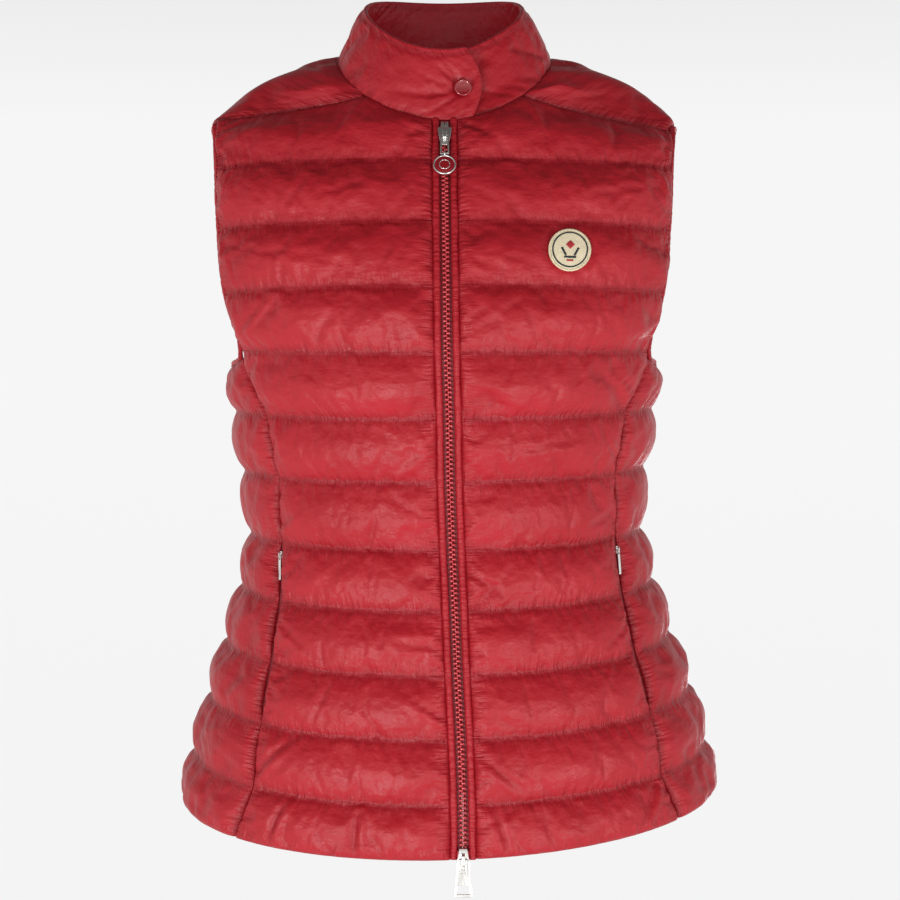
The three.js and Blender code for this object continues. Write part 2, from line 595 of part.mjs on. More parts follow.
// ---- Collar ----
function collarPoint(degrees, share) {
  const angle = rad(degrees);
  const [x, y, z] = neckPoint(angle);
  const top = [
    COLLAR.topHalf * Math.sin(angle),
    COLLAR.topMiddleY - COLLAR.topDepth * Math.cos(angle),
    COLLAR.topMiddle - COLLAR.topTilt * Math.cos(angle) + COLLAR.topCrown * Math.sin(angle) ** 2,
  ];
  const foot = [x, y, z];
  const height = vec(top).distanceTo(vec(foot));
  const t = lerp(COLLAR.seat / height, 1, share);
  const base = mix(foot, top, t);
  const belly = COLLAR.belly * Math.sin(Math.PI * t);
  return vec([base[0] + belly * Math.sin(angle), base[1] - belly * Math.cos(angle), base[2]]);
}

function collar() {
  const columns = 28;
  const rows = [0, 0.1, 0.36, 0.64, 0.9, 1];
  const outer = rows.map(() => []);
  const inner = rows.map(() => []);
  for (let j = 0; j <= columns; j++) {
    rows.forEach((share, i) => {
      const over = COLLAR.overEnd + COLLAR.overBulge * Math.sin(Math.PI * share);
      const degrees = lerp(over, COLLAR.underEnd - 360, j / columns);
      const step = 0.5;
      const alongAngle = collarPoint(degrees - step, share).sub(collarPoint(degrees + step, share));
      const upwards = collarPoint(degrees, Math.min(1, share + 0.02)).sub(collarPoint(degrees, Math.max(0, share - 0.02)));
      const normal = alongAngle.cross(upwards).normalize().negate();
      // The under end is set back so that the other one can lie over it.
      const past = degrees + 360;
      const gone = (fades) => 1 - ease((past - COLLAR.underEnd - 18) / fades);
      const [low, high] = [COLLAR.footInset * gone(12), COLLAR.inset * gone(COLLAR.insetFades)];
      const inset = past < 180 ? lerp(low, high, ease(share / 0.3)) : 0;
      const ends = Math.min(over - degrees, past - COLLAR.underEnd);
      const full = (1 - Math.abs(2 * share - 1) ** 2.6) * padding(ends * 1.2);
      const half = (COLLAR.edgeWall + (COLLAR.fullWall - COLLAR.edgeWall) * full) / 2;
      const middle = collarPoint(degrees, share).addScaledVector(normal, -inset);
      outer[i].push(middle.clone().addScaledVector(normal, half));
      inner[i].push(middle.clone().addScaledVector(normal, -half));
    });
  }
  add("collar", wallBetween(outer, inner), "shell");
}

// A turned cap whose back stands at centre and whose face looks along out.
function roundCap(centre, out, radius, thick, rise) {
  const profile = [[0, 0], [radius * 0.92, 0], [radius, thick * 0.35], [radius * 0.86, thick], [0, thick + rise]];
  const cap = new THREE.LatheGeometry(profile.map((p) => new THREE.Vector2(...p)), 24);
  const turn = new THREE.Quaternion().setFromUnitVectors(new THREE.Vector3(0, 1, 0), out);
  return cap.applyMatrix4(new THREE.Matrix4().makeRotationFromQuaternion(turn).setPosition(centre));
}

function snap() {
  const { angle, share, radius, thick } = SNAP;
  const across = collarPoint(angle + 1, share).sub(collarPoint(angle - 1, share));
  const up = collarPoint(angle, share + 0.05).sub(collarPoint(angle, share - 0.05));
  const out = across.cross(up).normalize();
  const centre = collarPoint(angle, share).addScaledVector(out, COLLAR.fullWall / 2 + SEAM_GAP);
  add("snap_cap", roundCap(centre, out, radius, thick, 0.8), "enamel");
}

// ---- Badge and pockets ----
function badge() {
  const { level, share, radius, thick, clear } = BADGE;
  const rows = FRONT[1];
  const { here, normal, alongS, alongV } = frameOf(rows, level, share, -1);
  const spokes = 20;
  const rings = [0.001, 0.5, 1];
  const mmPerShare = vec(loft(rows, level, share + 0.01)).distanceTo(vec(loft(rows, level, share - 0.01))) / 0.02;
  const lift = (extra) => rings.map((ring) =>
    Array.from({ length: spokes + 1 }, (_, k) => {
      const turn = (2 * Math.PI * k) / spokes;
      const [right, down] = [Math.cos(turn) * ring * radius, Math.sin(turn) * ring * radius];
      const bend = frameOf(rows, level, share + right / mmPerShare, -1);
      const sag = bend.here.clone().sub(here).dot(normal);
      return here.clone().addScaledVector(alongS, right).addScaledVector(alongV, down)
        .addScaledVector(normal, sag + PUFF_OUT + STITCHED_WALL / 2 + clear + extra - 1.2 * (down / radius) ** 2);
    }));
  const [front, rear] = [lift(thick), lift(0)];
  const points = [front[0][0], ...front.slice(1).flatMap((ring) => ring.slice(0, spokes)),
    rear[0][0], ...rear.slice(1).flatMap((ring) => ring.slice(0, spokes))];
  const faces = [];
  const half = 1 + 2 * spokes;
  const at = (face, ring, k) => face * half + (ring === 0 ? 0 : 1 + (ring - 1) * spokes + (k % spokes));
  for (let k = 0; k < spokes; k++) {
    faces.push(at(0, 0, k), at(0, 1, k), at(0, 1, k + 1), at(1, 0, k), at(1, 1, k + 1), at(1, 1, k));
    faces.push(at(0, 1, k), at(0, 2, k), at(0, 2, k + 1), at(0, 1, k), at(0, 2, k + 1), at(0, 1, k + 1));
    faces.push(at(1, 1, k), at(1, 2, k + 1), at(1, 2, k), at(1, 1, k), at(1, 1, k + 1), at(1, 2, k + 1));
    faces.push(at(0, 2, k), at(1, 2, k), at(1, 2, k + 1), at(0, 2, k), at(1, 2, k + 1), at(0, 2, k + 1));
  }
  add("badge", solidFrom(points, faces), "badge");
}

// A strip behind each pocket's mouth, with a small slider and a bar-shaped pull in the mouth.
function pockets() {
  for (const [side, sign] of SIDES) {
    const steps = 12;
    const at = (level) => {
      const { here, normal, alongS, alongV } = frameOf(FRONT[sign], level, 1, -sign);
      return { here, normal, alongS, down: alongV };
    };
    const outer = [];
    const inner = [];
    for (let i = 0; i <= steps; i++) {
      const { here, normal, alongS } = at(lerp(POCKET.from + 0.22, POCKET.to - 0.15, i / steps));
      const point = (x, depth) => here.clone().addScaledVector(alongS, x).addScaledVector(normal, depth);
      outer.push([point(-POCKET.tape / 2, 0), point(POCKET.tape / 2, 0)]);
      inner.push([point(-POCKET.tape / 2, -1), point(POCKET.tape / 2, -1)]);
    }
    add(`pocket_tape_${side}`, wallBetween(outer, inner), "trim");

    const { here, normal, down } = at(POCKET.sliderLevel);
    const across = down.clone().negate().cross(normal).normalize();
    const up = normal.clone().cross(across);
    const seat = (geometry, lift) =>
      geometry.applyMatrix4(new THREE.Matrix4().makeBasis(across, up, normal)
        .setPosition(here.clone().addScaledVector(normal, lift)));
    const [w, h, t] = POCKET.slider;
    const block = new THREE.BoxGeometry(w, h, t).translate(0, 0, t / 2);
    add(`pocket_slider_${side}`, seat(joined(block, bridge(POCKET.bridge).translate(0, 0, t)), 0.3), "metal");
    const [width, length, thick] = POCKET.bar;
    const [half, edge] = [width / 2, thick / 2];
    const pull = plate(
      [[-half, edge], [-half, edge - length], [half, edge - length], [half, edge]], thick,
      [[[-half + 0.5, -edge], [-half + 0.5, -3.4], [half - 0.5, -3.4], [half - 0.5, -edge]]],
    );
    add(`pocket_pull_${side}`, seat(pull, 0.3 + t + (POCKET.bridge.inside - thick) / 2), "metal");
  }
}

fronts();
sides();
back();
bindings();
zip();
zipPulls();
collar();
snap();
badge();
pockets();

export default jacket;
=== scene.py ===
# %% [markdown]
# # A quilted down vest
# The vest is shown filled out, as if somebody were wearing it, with nobody inside. The frame gives the box
# of every solid and the bodies that can move, such as the pull tabs. Everything soft is made again here
# over the same form, and the hard pieces are rounded off and given metal, enamel or plastic.

# %% Load the frame
import math

import bmesh
import bpy
import numpy as np
from mathutils import Matrix, Vector


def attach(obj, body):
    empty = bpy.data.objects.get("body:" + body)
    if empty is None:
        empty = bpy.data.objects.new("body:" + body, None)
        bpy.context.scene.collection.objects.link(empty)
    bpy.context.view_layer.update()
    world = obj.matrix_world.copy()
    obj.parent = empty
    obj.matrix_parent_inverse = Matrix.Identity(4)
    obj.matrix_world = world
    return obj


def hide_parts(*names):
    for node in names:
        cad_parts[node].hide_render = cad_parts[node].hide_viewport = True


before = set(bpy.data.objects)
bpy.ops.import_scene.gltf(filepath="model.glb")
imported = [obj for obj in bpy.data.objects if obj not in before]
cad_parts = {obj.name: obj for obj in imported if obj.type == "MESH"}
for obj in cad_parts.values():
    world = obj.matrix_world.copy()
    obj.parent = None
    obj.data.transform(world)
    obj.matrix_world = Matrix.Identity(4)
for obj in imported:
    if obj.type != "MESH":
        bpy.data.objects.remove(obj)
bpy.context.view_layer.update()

MM = 0.001

# %% [markdown]
# ## The form
# Lengths below are in millimetres. A level counts the stitch lines down the vest: 0 is the forward shoulder
# seam, 1 to 11 are quilted lines and 12 is the hem. A dress form could be sculpted and the cloth shrunk on
# to it, but a few measured curves are easier to correct: each level is a curve, and a panel is the smooth
# surface through its curves. From the underarm down they are closed rings, so each is a row of a short
# table.

# %% Tables of the form
HEM, UNDERARM = 12, 4
RING_COLUMNS = ("level", "z", "front", "back", "half", "rise", "seam", "back_seam", "lean", "tilt", "turn")
RINGS = [dict(zip(RING_COLUMNS, row)) for row in (
    (4, -211.5, 118, 102, 154, 5, 68, 112, 0, 0, 0.9),
    (5, -256, 112, 95, 149, 6, 57, 117, 0, 1, 1.4),
    (6, -299.5, 104, 85, 143, 7, 55, 118, 0, 1.5, 1.7),
    (7, -346.5, 101, 79, 139.5, 9, 57, 118, 1, 1.5, 2),
    (8, -388, 105, 84, 147, 13, 54.5, 118, 2, 2, 2.2),
    (9, -431.5, 110, 94, 159, 17, 53, 118, 3, 2.5, 2.3),
    (10, -474.5, 115, 103, 172, 21, 52, 118, 4, 3, 2.5),
    (11, -518, 119, 109, 184, 24, 50.5, 118, 4, 3.5, 2.8),
    (12, -554.5, 121, 112, 191, 27, 54, 118, 4, 5.5, 2.8),
)]
# Lines above the underarm: height and depth in the middle, their end at the armhole, and a sideways shift.
LINE_COLUMNS = ("z", "depth", "edge", "shift", "crowd")
CHEST = [dict(zip(LINE_COLUMNS, row)) for row in (
    (-78, 78, (163, -30, -80), 0.8, 0),
    (-122, 98, (160, -43, -124), 1.2, 0),
    (-166.5, 113, (155, -50, -168), 1.8, 0),
)]
BLADES = [dict(zip(LINE_COLUMNS, row)) for row in (
    (-34, 80, (165, 27, -57), 0, 1),
    (-76, 92, (161, 40, -86), 0, 0.6),
    (-120, 100, (156, 50, -128), 0, 0.25),
    (-165, 104, (155, 53, -170), 0, 0),
)]
CHEST_ARC, BACK_ARC = math.radians(68), math.radians(66)
NECK = dict(half=76, depth=62, middle=-21, tilt=27, crown=21)
SHOULDER_NECK_ANGLE = math.radians(45)
SHOULDER_TIP, SHOULDER_DROP, SHOULDER_SAG = (164, -8, -46), 4, 3
NECK_SHARE, BACK_NECK_SHARE = 0.34, 0.52
BEHIND_EDGE = [(0, (0, 73, -12)), (0.17, (61, 55, -5)), (0.35, (90, 6, -6)),
               (0.52, (85, -26, -23)), (0.76, (121, -15, -33)), (1, (168, 2, -46))]
CREST = [(0, (0, 77, -21)), (0.17, (64, 66, -18)), (0.35, (101, 33, -14)),
         (0.52, (112, 11, -16)), (0.76, (139, 11, -28)), (1, (169, 14, -51))]
ZIP_HALF_GAP, BINDING_WIDTH, SEAM_GAP = 8.4, 5.2, -0.15
STITCHED_WALL = 2.4
print(len(RINGS), "rings,", len(CHEST), "chest lines,", len(BLADES), "back lines")

# %% Small helpers for curves
def points(x, y, z):
    return np.stack(np.broadcast_arrays(x, y, z), axis=-1).astype(float)


def mix(a, b, t):
    return a + (b - a) * t


def ease(t):
    t = np.clip(t, 0, 1)
    return t * t * (3 - 2 * t)


def unit(vectors):
    return vectors / np.linalg.norm(vectors, axis=-1, keepdims=True)


def travelled(places, axis=0):
    """Distance from the first place to each place along a line, or along one axis of a grid of places."""
    steps = np.linalg.norm(np.diff(places, axis=axis), axis=-1)
    start = np.zeros_like(np.take(steps, [0], axis=axis))
    return np.concatenate([start, np.cumsum(steps, axis=axis)], axis=axis)


print("halfway from 2 to 6:", mix(2, 6, ease(0.5)))

# %% [markdown]
# The rings are ellipses whose front and back have depths of their own, which fits a body better than one
# ellipse does. The neckline is an ellipse that rises over the shoulders. Above the underarm a ring is open
# at the armholes, so each line there is an arc from the middle to the edge of an armhole.

# %% Curves of the form
def ring_point(row, degrees):
    angle = np.radians(degrees + row["turn"])
    depth = np.where(np.cos(angle) > 0, row["front"], row["back"])
    z = row["z"] + row["rise"] * (1 - np.abs(np.cos(angle))) + row["tilt"] * np.sin(angle)
    return points(row["lean"] + row["half"] * np.sin(angle), -depth * np.cos(angle), z)


def neck_point(angle):
    z = NECK["middle"] - NECK["tilt"] * np.cos(angle) + NECK["crown"] * np.sin(angle) ** 2
    return points(NECK["half"] * np.sin(angle), -NECK["depth"] * np.cos(angle), z)


def open_line(row, sign, share, arc):
    across = np.sin(arc * share) / math.sin(arc)
    bend = (1 - np.cos(arc * share)) / (1 - math.cos(arc))
    x, y, z = row["edge"]
    middle = math.copysign(row["depth"], y)
    return points(sign * x * across + row["shift"] * (1 - bend), mix(middle, y, bend), mix(row["z"], z, bend))


def shoulder_seam(sign, share):
    share = np.asarray(share, float)
    tip = np.array(SHOULDER_TIP, float)
    x, y, z = np.moveaxis(mix(neck_point(SHOULDER_NECK_ANGLE), tip, share[..., None]), -1, 0)
    return points(sign * x, y, z - SHOULDER_SAG * np.sin(math.pi * share) - sign * SHOULDER_DROP * share)


def front_curve(level, sign):
    def top(s):
        start = math.asin(ZIP_HALF_GAP / NECK["half"])
        neck = neck_point(mix(start, SHOULDER_NECK_ANGLE, s / NECK_SHARE))
        neck = neck * (sign, 1, 1) + (0.6, 0, 0)
        seam = shoulder_seam(sign, (s - NECK_SHARE) / (1 - NECK_SHARE))
        return np.where((s < NECK_SHARE)[:, None], neck, seam)

    def line(s):
        row = CHEST[level - 1]
        start = ZIP_HALF_GAP / row["edge"][0] * math.sin(CHEST_ARC) / CHEST_ARC
        return open_line(row, sign, mix(start, 1, s), CHEST_ARC)

    def ring(s):
        row = RINGS[level - UNDERARM]
        start = math.degrees(math.asin(ZIP_HALF_GAP / row["half"]))
        return ring_point(row, sign * mix(start, row["seam"], s))
    return top if level == 0 else line if level < UNDERARM else ring


def back_curve(level):
    def line(s):
        row = BLADES[level]
        share = np.abs(s)
        share = share * (1 + row["crowd"] * np.maximum(0, 1 - share) ** 1.2)
        return open_line(row, np.where(s < 0, -1, 1), share, BACK_ARC)
    if level < UNDERARM:
        return line
    row = RINGS[level - UNDERARM]
    return lambda s: ring_point(row, 180 - s * (180 - row["back_seam"]))


def side_curve(level, sign):
    def across(s):
        front = front_curve(level, sign)(np.ones(1))
        return mix(front, back_curve(level)(np.full(1, float(sign))), s[:, None])
    if level < UNDERARM:
        return across
    row = RINGS[level - UNDERARM]
    return lambda s: ring_point(row, sign * mix(row["seam"], row["back_seam"], s))


def back_top(s):
    sign, share = np.where(s < 0, -1, 1), np.abs(s)
    neck = neck_point(mix(math.pi, SHOULDER_NECK_ANGLE, share / BACK_NECK_SHARE))
    neck[:, 0] *= sign
    seam = shoulder_seam(sign, (share - BACK_NECK_SHARE) / (1 - BACK_NECK_SHARE))
    return np.where((share > BACK_NECK_SHARE)[:, None], seam, neck)


# %% [markdown]
# A panel's surface is a loft: a smooth cubic runs down through its curves, as a spline runs through its
# points. Behind the shoulders two curves have no formula, so they are splines through a few listed places.

# %% Splines and the lists of curves
def cubic(a, b, c, d, t):
    rise, fall = (c - a) / 2, (d - b) / 2
    return ((2 * t**3 - 3 * t**2 + 1) * b + (t**3 - 2 * t**2 + t) * rise
            + (3 * t**2 - 2 * t**3) * c + (t**3 - t**2) * fall)


def table_curve(table):
    shares = np.array([row[0] for row in table])
    at = np.array([row[1] for row in table], float)
    before, after = at[1] * (-1, 1, 1), 2 * at[-1] - at[-2]
    padded = np.vstack([before, at, after])

    def curve(s):
        share = np.minimum(1, np.abs(s))
        i = np.clip(np.searchsorted(shares, share, side="right") - 1, 0, len(table) - 2)
        t = ((share - shares[i]) / (shares[i + 1] - shares[i]))[:, None]
        point = cubic(padded[i], padded[i + 1], padded[i + 2], padded[i + 3], t)
        point[:, 0] *= np.sign(s)
        return point
    return curve


FRONT = {sign: [front_curve(k, sign) for k in range(HEM + 1)] for sign in (-1, 1)}
SIDE = {sign: [side_curve(k, sign) for k in range(UNDERARM - 1, HEM + 1)] for sign in (-1, 1)}
BACK = [back_top, table_curve(BEHIND_EDGE), table_curve(CREST)] + [back_curve(k) for k in range(HEM + 1)]
BACK_START = 3
print("curves:", len(FRONT[1]), "front,", len(SIDE[1]), "side,", len(BACK), "back")

# %% The smooth surface through a list of curves
def loft(rows, v, s):
    i = int(min(len(rows) - 2, max(0, math.floor(v))))
    b, c = rows[i](s), rows[i + 1](s)
    a = rows[i - 1](s) if i else 2 * b - c
    d = rows[i + 2](s) if i + 2 < len(rows) else 2 * c - b
    return cubic(a, b, c, d, v - i)


def loft_frame(rows, v, s, outward, step=0.004):
    along_s = loft(rows, v, s + step) - loft(rows, v, s - step)
    along_v = loft(rows, v + step, s) - loft(rows, v - step, s)
    normal = unit(np.cross(along_s, along_v)) * outward
    return loft(rows, v, s), normal, unit(along_s), unit(along_v)


def over_shoulder(v, here, square):
    """Normals where the back panel bends over the shoulder: its padding stands away from a line inside it."""
    middle = points(0.75 * here[..., 0], 5.0, -70.0)
    return unit(mix(unit(here - middle), square, ease((v - BACK_START + 0.6) / 1.2)))


print("front panel, middle of its edges:", loft(FRONT[1], HEM / 2, np.array([0.0, 1.0])).round())

# %% [markdown]
# ## Quilted panels
# A panel is two layers of thin nylon with down between them, sewn together along its quilting lines. A bump
# map could draw the channels, but their outline would stay straight, so they are real geometry. The outer
# layer starts as a fine grid laid over the form, with a row of points on every stitch line. Each channel is
# given its roundness, its small puckers beside the stitching and a few large creases. Then the cloth solver
# inflates it with the stitch lines pinned, and cloth that is a little too long for its seams gathers by
# itself.

# %% Settings of the quilting
PUFF_OUT, PUFF_IN = 6.6, 2.6
BINDING_ROOM = 3.2
POCKET_FROM, POCKET_TO, POCKET_GAP = 6.9, 9.87, 1.7


def fullness(share):
    return 1 - np.abs(2 * share - 1) ** 2.2


def binding_room(level):
    return mix(BINDING_ROOM, SEAM_GAP, ease((level - UNDERARM + 0.25) / 0.5))


def mouth_room(level):
    return SEAM_GAP + POCKET_GAP * ease((level - POCKET_FROM) / 0.15) * ease((POCKET_TO - level) / 0.15)


def dip(share):
    """How far the armhole cuts into the top of a side panel, in levels."""
    return 0.1 + 0.2 * np.sin(math.pi * np.clip(share, 0, 1))


print("a channel stands %.1f mm out and %.1f mm in" % (PUFF_OUT, PUFF_IN))

# %% The grid of a panel
def panel_grid(rows, channels, steps, columns, span, trim, outward, top_trim=0.03, top=None, steer=None):
    """Arrays over (row, column): the form's point and normal, the share of the channel, mm from the edges."""
    first, last = span
    levels = [(a + (b - a) * k / n, k / n, c)
              for c, ((a, b), n) in enumerate(zip(channels, steps)) for k in range(n)]
    levels.append((channels[-1][1], 1.0, len(channels) - 1))
    here, normal, share_of, channel_of = [], [], [], []
    for v, share, channel in levels:
        ends, inside = np.array([first, last], float), np.array([first + 0.02, last - 0.02])
        speed = np.linalg.norm(loft(rows, v, inside) - loft(rows, v, ends), axis=1) / 0.02
        cut_first, cut_last = trim(v)
        s = np.linspace(first + cut_first / speed[0], last - cut_last / speed[1], columns + 1)
        if top is not None and channel == 0:
            level = channels[0][1] - (channels[0][1] - v) * (1 - top(s))
            rowwise = [loft_frame(rows, float(q), s[k:k + 1], outward) for k, q in enumerate(level)]
            p, n = np.concatenate([r[0] for r in rowwise]), np.concatenate([r[1] for r in rowwise])
        else:
            level = v + top_trim if v == channels[0][0] else v
            p, n, _, _ = loft_frame(rows, level, s, outward)
        if steer is not None:
            n = steer(v, p, n)
        here.append(p)
        normal.append(n)
        share_of.append(share)
        channel_of.append(channel)
    here, normal = np.array(here), np.array(normal)
    along = travelled(here, axis=1)
    return dict(here=here, normal=normal, share=np.array(share_of), channel=np.array(channel_of),
                along=along, down=travelled(here), edge=np.minimum(along, along[:, -1:] - along))


# %% [markdown]
# The puckers run square to a seam, because the thread pulls the cloth shorter there. Each one is a narrow
# valley that starts at the stitching and fades out after a centimetre or two, at a slant of its own. They
# are uneven in spacing, depth and length, so they are drawn from a seeded generator.

# %% Puckers, ripples and large creases
def valleys(rng, along, away, length, spacing, depth, reach, slant=0.35):
    """Valleys that leave a seam of the given length at uneven distances."""
    field = np.zeros_like(along)
    x = rng.uniform(0, spacing)
    while x < length:
        long_one = rng.random() < 0.16
        run = reach * (rng.uniform(1.5, 2.3) if long_one else rng.uniform(0.4, 1.1))
        deep = depth * rng.uniform(0.35, 1.0) * (1.15 if long_one else 1)
        width = rng.uniform(1.1, 2.1) * (1 + 0.035 * away)
        lean, bow = rng.uniform(-slant, slant), rng.uniform(-0.012, 0.012)
        offset = along - x - lean * away - bow * away**2
        fade = np.clip(1 - away / run, 0, 1) ** 1.3 * (1 - np.exp(-((away / 1.6) ** 2)))
        narrow, wide = np.exp(-((offset / width) ** 2)), np.exp(-((offset / (2.2 * width)) ** 2))
        field -= deep * fade * (narrow - 0.32 * wide)
        x += spacing * rng.uniform(0.45, 1.6)
    return field


PUCKER_DEPTH = 1.5


def quilt(grid, seed, puff=1.0, creases=()):
    """How far the outer layer stands off the form, in mm."""
    rng = np.random.default_rng(seed)
    share, channel = grid["share"][:, None], grid["channel"]
    edge = grid["edge"]
    padding = 0.1 + 0.9 * np.sqrt(1 - (1 - np.clip(edge / 15, 0, 1)) ** 2)
    sagged = share ** 0.92
    lift = STITCHED_WALL / 2 + PUFF_OUT * puff * fullness(sagged) * padding
    for c in range(channel.max() + 1):
        rows = np.where(channel == c)[0]
        rows = np.append(rows, min(rows[-1] + 1, len(channel) - 1))
        rows = np.unique(rows)
        top, bottom = grid["down"][rows[0]], grid["down"][rows[-1]]
        below = np.maximum(0, grid["down"][rows] - top)
        above = np.maximum(0, bottom - grid["down"][rows])
        along = grid["along"][rows]
        width = along[:, -1].max()
        swell = sum(rng.uniform(0.02, 0.05) * np.sin(along / rng.uniform(9, 26) + rng.uniform(0, 6.28))
                    for _ in range(4))
        body = fullness(np.clip(below / np.maximum(1e-6, below + above), 0, 1))
        lift[rows] += PUFF_OUT * puff * swell * body
        field = valleys(rng, along, below, width, 7, PUCKER_DEPTH * 0.7, 10)
        field += valleys(rng, along, above, width, 4.6, PUCKER_DEPTH * 1.1, 12, 0.6)
        lift[rows] += field * np.clip(edge[rows] / 4, 0, 1)
    height = grid["down"][:, 0].max()
    inset = np.clip(np.minimum(share, 1 - share) * 6, 0, 1)
    far_edge = grid["along"][:, -1:] - grid["along"]
    lift += sum(valleys(rng, grid["down"], away, height, 4.6, 1.7 * PUCKER_DEPTH, 17, 0.8) * inset
                for away in (grid["along"], far_edge))
    for level, across, length, degrees, deep, wide in creases:
        deep, wide = 1.35 * deep, 0.62 * wide
        c = int(level)
        rows = np.where(channel == c)[0]
        top = grid["down"][rows[0]]
        bottom = grid["down"][min(rows[-1] + 1, len(channel) - 1)]
        x0 = across * grid["along"][rows, -1].mean()
        y0 = mix(top, bottom, level - c)
        dx, dy = grid["along"][rows] - x0, grid["down"][rows] - y0
        cos, sin = math.cos(math.radians(degrees)), math.sin(math.radians(degrees))
        run, off = dx * cos + dy * sin, -dx * sin + dy * cos
        fold = np.exp(-((off / wide) ** 2)) - 0.45 * np.exp(-(((off - 2.0 * wide) / (1.5 * wide)) ** 2))
        fade = np.clip(1 - np.abs(run) / (length / 2), 0, 1) ** 0.8
        body = np.clip(np.minimum(grid["share"][rows], 1 - grid["share"][rows])[:, None] * 8, 0, 1)
        lift[rows] -= deep * fold * fade * body
    return lift


# %% [markdown]
# An array of points becomes a mesh through a flat grid: Blender's own operator makes it, and two layers
# note which row and column of the array each vertex stands for. The vertices can then be put in their
# places at any time, and the faces are never listed by hand.

# %% From arrays to a mesh
def grid_mesh(rows, columns, marks=()):
    """A flat grid, with layers for the row and column of the point that each vertex stands for."""
    bm = bmesh.new()
    bmesh.ops.create_grid(bm, x_segments=columns, y_segments=rows, size=0.5)
    for name in ("row", "column", "side"):
        bm.verts.layers.int.new(name)
    for name in marks:
        bm.verts.layers.float.new(name)
    row_of, column_of = bm.verts.layers.int["row"], bm.verts.layers.int["column"]
    xs, ys = [v.co.x for v in bm.verts], [v.co.y for v in bm.verts]
    low_x, size_x, low_y, size_y = min(xs), max(xs) - min(xs), min(ys), max(ys) - min(ys)
    for vert in bm.verts:
        vert[row_of] = round((vert.co.y - low_y) / size_y * rows)
        vert[column_of] = round((vert.co.x - low_x) / size_x * columns)
    return bm, row_of, column_of


def finish_mesh(name, bm, material, body="vest", smooth=True):
    mesh = bpy.data.meshes.new(name)
    bm.to_mesh(mesh)
    bm.free()
    if smooth:
        mesh.shade_smooth()
    piece = bpy.data.objects.new(name, mesh)
    bpy.context.scene.collection.objects.link(piece)
    if material is not None:
        mesh.materials.append(material)
    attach(piece, body)
    return piece


# %% [markdown]
# Down presses the outer layer outwards, and the layer wrinkles because it is cut larger than the space
# between its seams. Shrinking by a negative amount makes the cloth that much too large, air pressure stands
# for the down, and gravity is off. The result is copied off the solver, so no live simulation stays on the
# piece.

# %% Inflating the outer layer
SOLVER_FRAMES = 20


def inflate(points_mm, pinned, flip=False, growth=0.034, pressure=4.0, cap=4.0):
    """Lets the cloth solver settle an open sheet. Pinned points stay, and no point moves more than cap mm."""
    bm, row_of, column_of = grid_mesh(points_mm.shape[0] - 1, points_mm.shape[1] - 1)
    index = np.array([(v[row_of], v[column_of]) for v in bm.verts])
    for vert in bm.verts:
        vert.co = Vector(points_mm[vert[row_of], vert[column_of]]) * MM
    if flip:
        bmesh.ops.reverse_faces(bm, faces=bm.faces)
    mesh = bpy.data.meshes.new("settling")
    bm.to_mesh(mesh)
    bm.free()
    sheet = bpy.data.objects.new("settling", mesh)
    bpy.context.scene.collection.objects.link(sheet)
    group = sheet.vertex_groups.new(name="stitched")
    group.add([int(k) for k in np.where(pinned[index[:, 0], index[:, 1]])[0]], 1.0, "REPLACE")
    cloth = sheet.modifiers.new("cloth", "CLOTH")
    setup = cloth.settings
    setup.quality, setup.mass, setup.air_damping = 4, 0.1, 2.0
    setup.tension_stiffness = setup.compression_stiffness = 20
    setup.shear_stiffness, setup.bending_stiffness = 8, 0.05
    setup.vertex_group_mass = group.name
    setup.shrink_min = -growth
    setup.use_pressure, setup.uniform_pressure_force = True, pressure
    setup.effector_weights.gravity = 0
    cloth.collision_settings.use_collision = False
    cloth.point_cache.frame_start, cloth.point_cache.frame_end = 1, SOLVER_FRAMES
    for number in range(1, SOLVER_FRAMES + 1):
        bpy.context.scene.frame_set(number)
    settled = sheet.evaluated_get(bpy.context.evaluated_depsgraph_get()).to_mesh()
    flat = np.empty(len(settled.vertices) * 3)
    settled.vertices.foreach_get("co", flat)
    moved = np.empty_like(points_mm)
    moved[index[:, 0], index[:, 1]] = flat.reshape(-1, 3) / MM
    bpy.context.scene.frame_set(1)
    bpy.data.objects.remove(sheet)
    bpy.data.meshes.remove(mesh)
    step = moved - points_mm
    size = np.linalg.norm(step, axis=-1, keepdims=True)
    print("  moved %.2f mm on average, %.2f at most" % (size.mean(), size.max()))
    return points_mm + step * np.minimum(1, cap / np.maximum(size, 1e-9))


# %% [markdown]
# ## Materials
# A material is a small network of nodes that ends in a Principled shader. The helpers below put a node in
# and link it in one line, so that a finish reads from top to bottom.

# %% Shader helpers
def linear(red, green, blue):
    """A colour picked on a 0-255 scale as the shader's linear values."""
    levels = [c / 255 for c in (red, green, blue)]
    return tuple(c / 12.92 if c <= 0.04045 else ((c + 0.055) / 1.055) ** 2.4 for c in levels) + (1.0,)


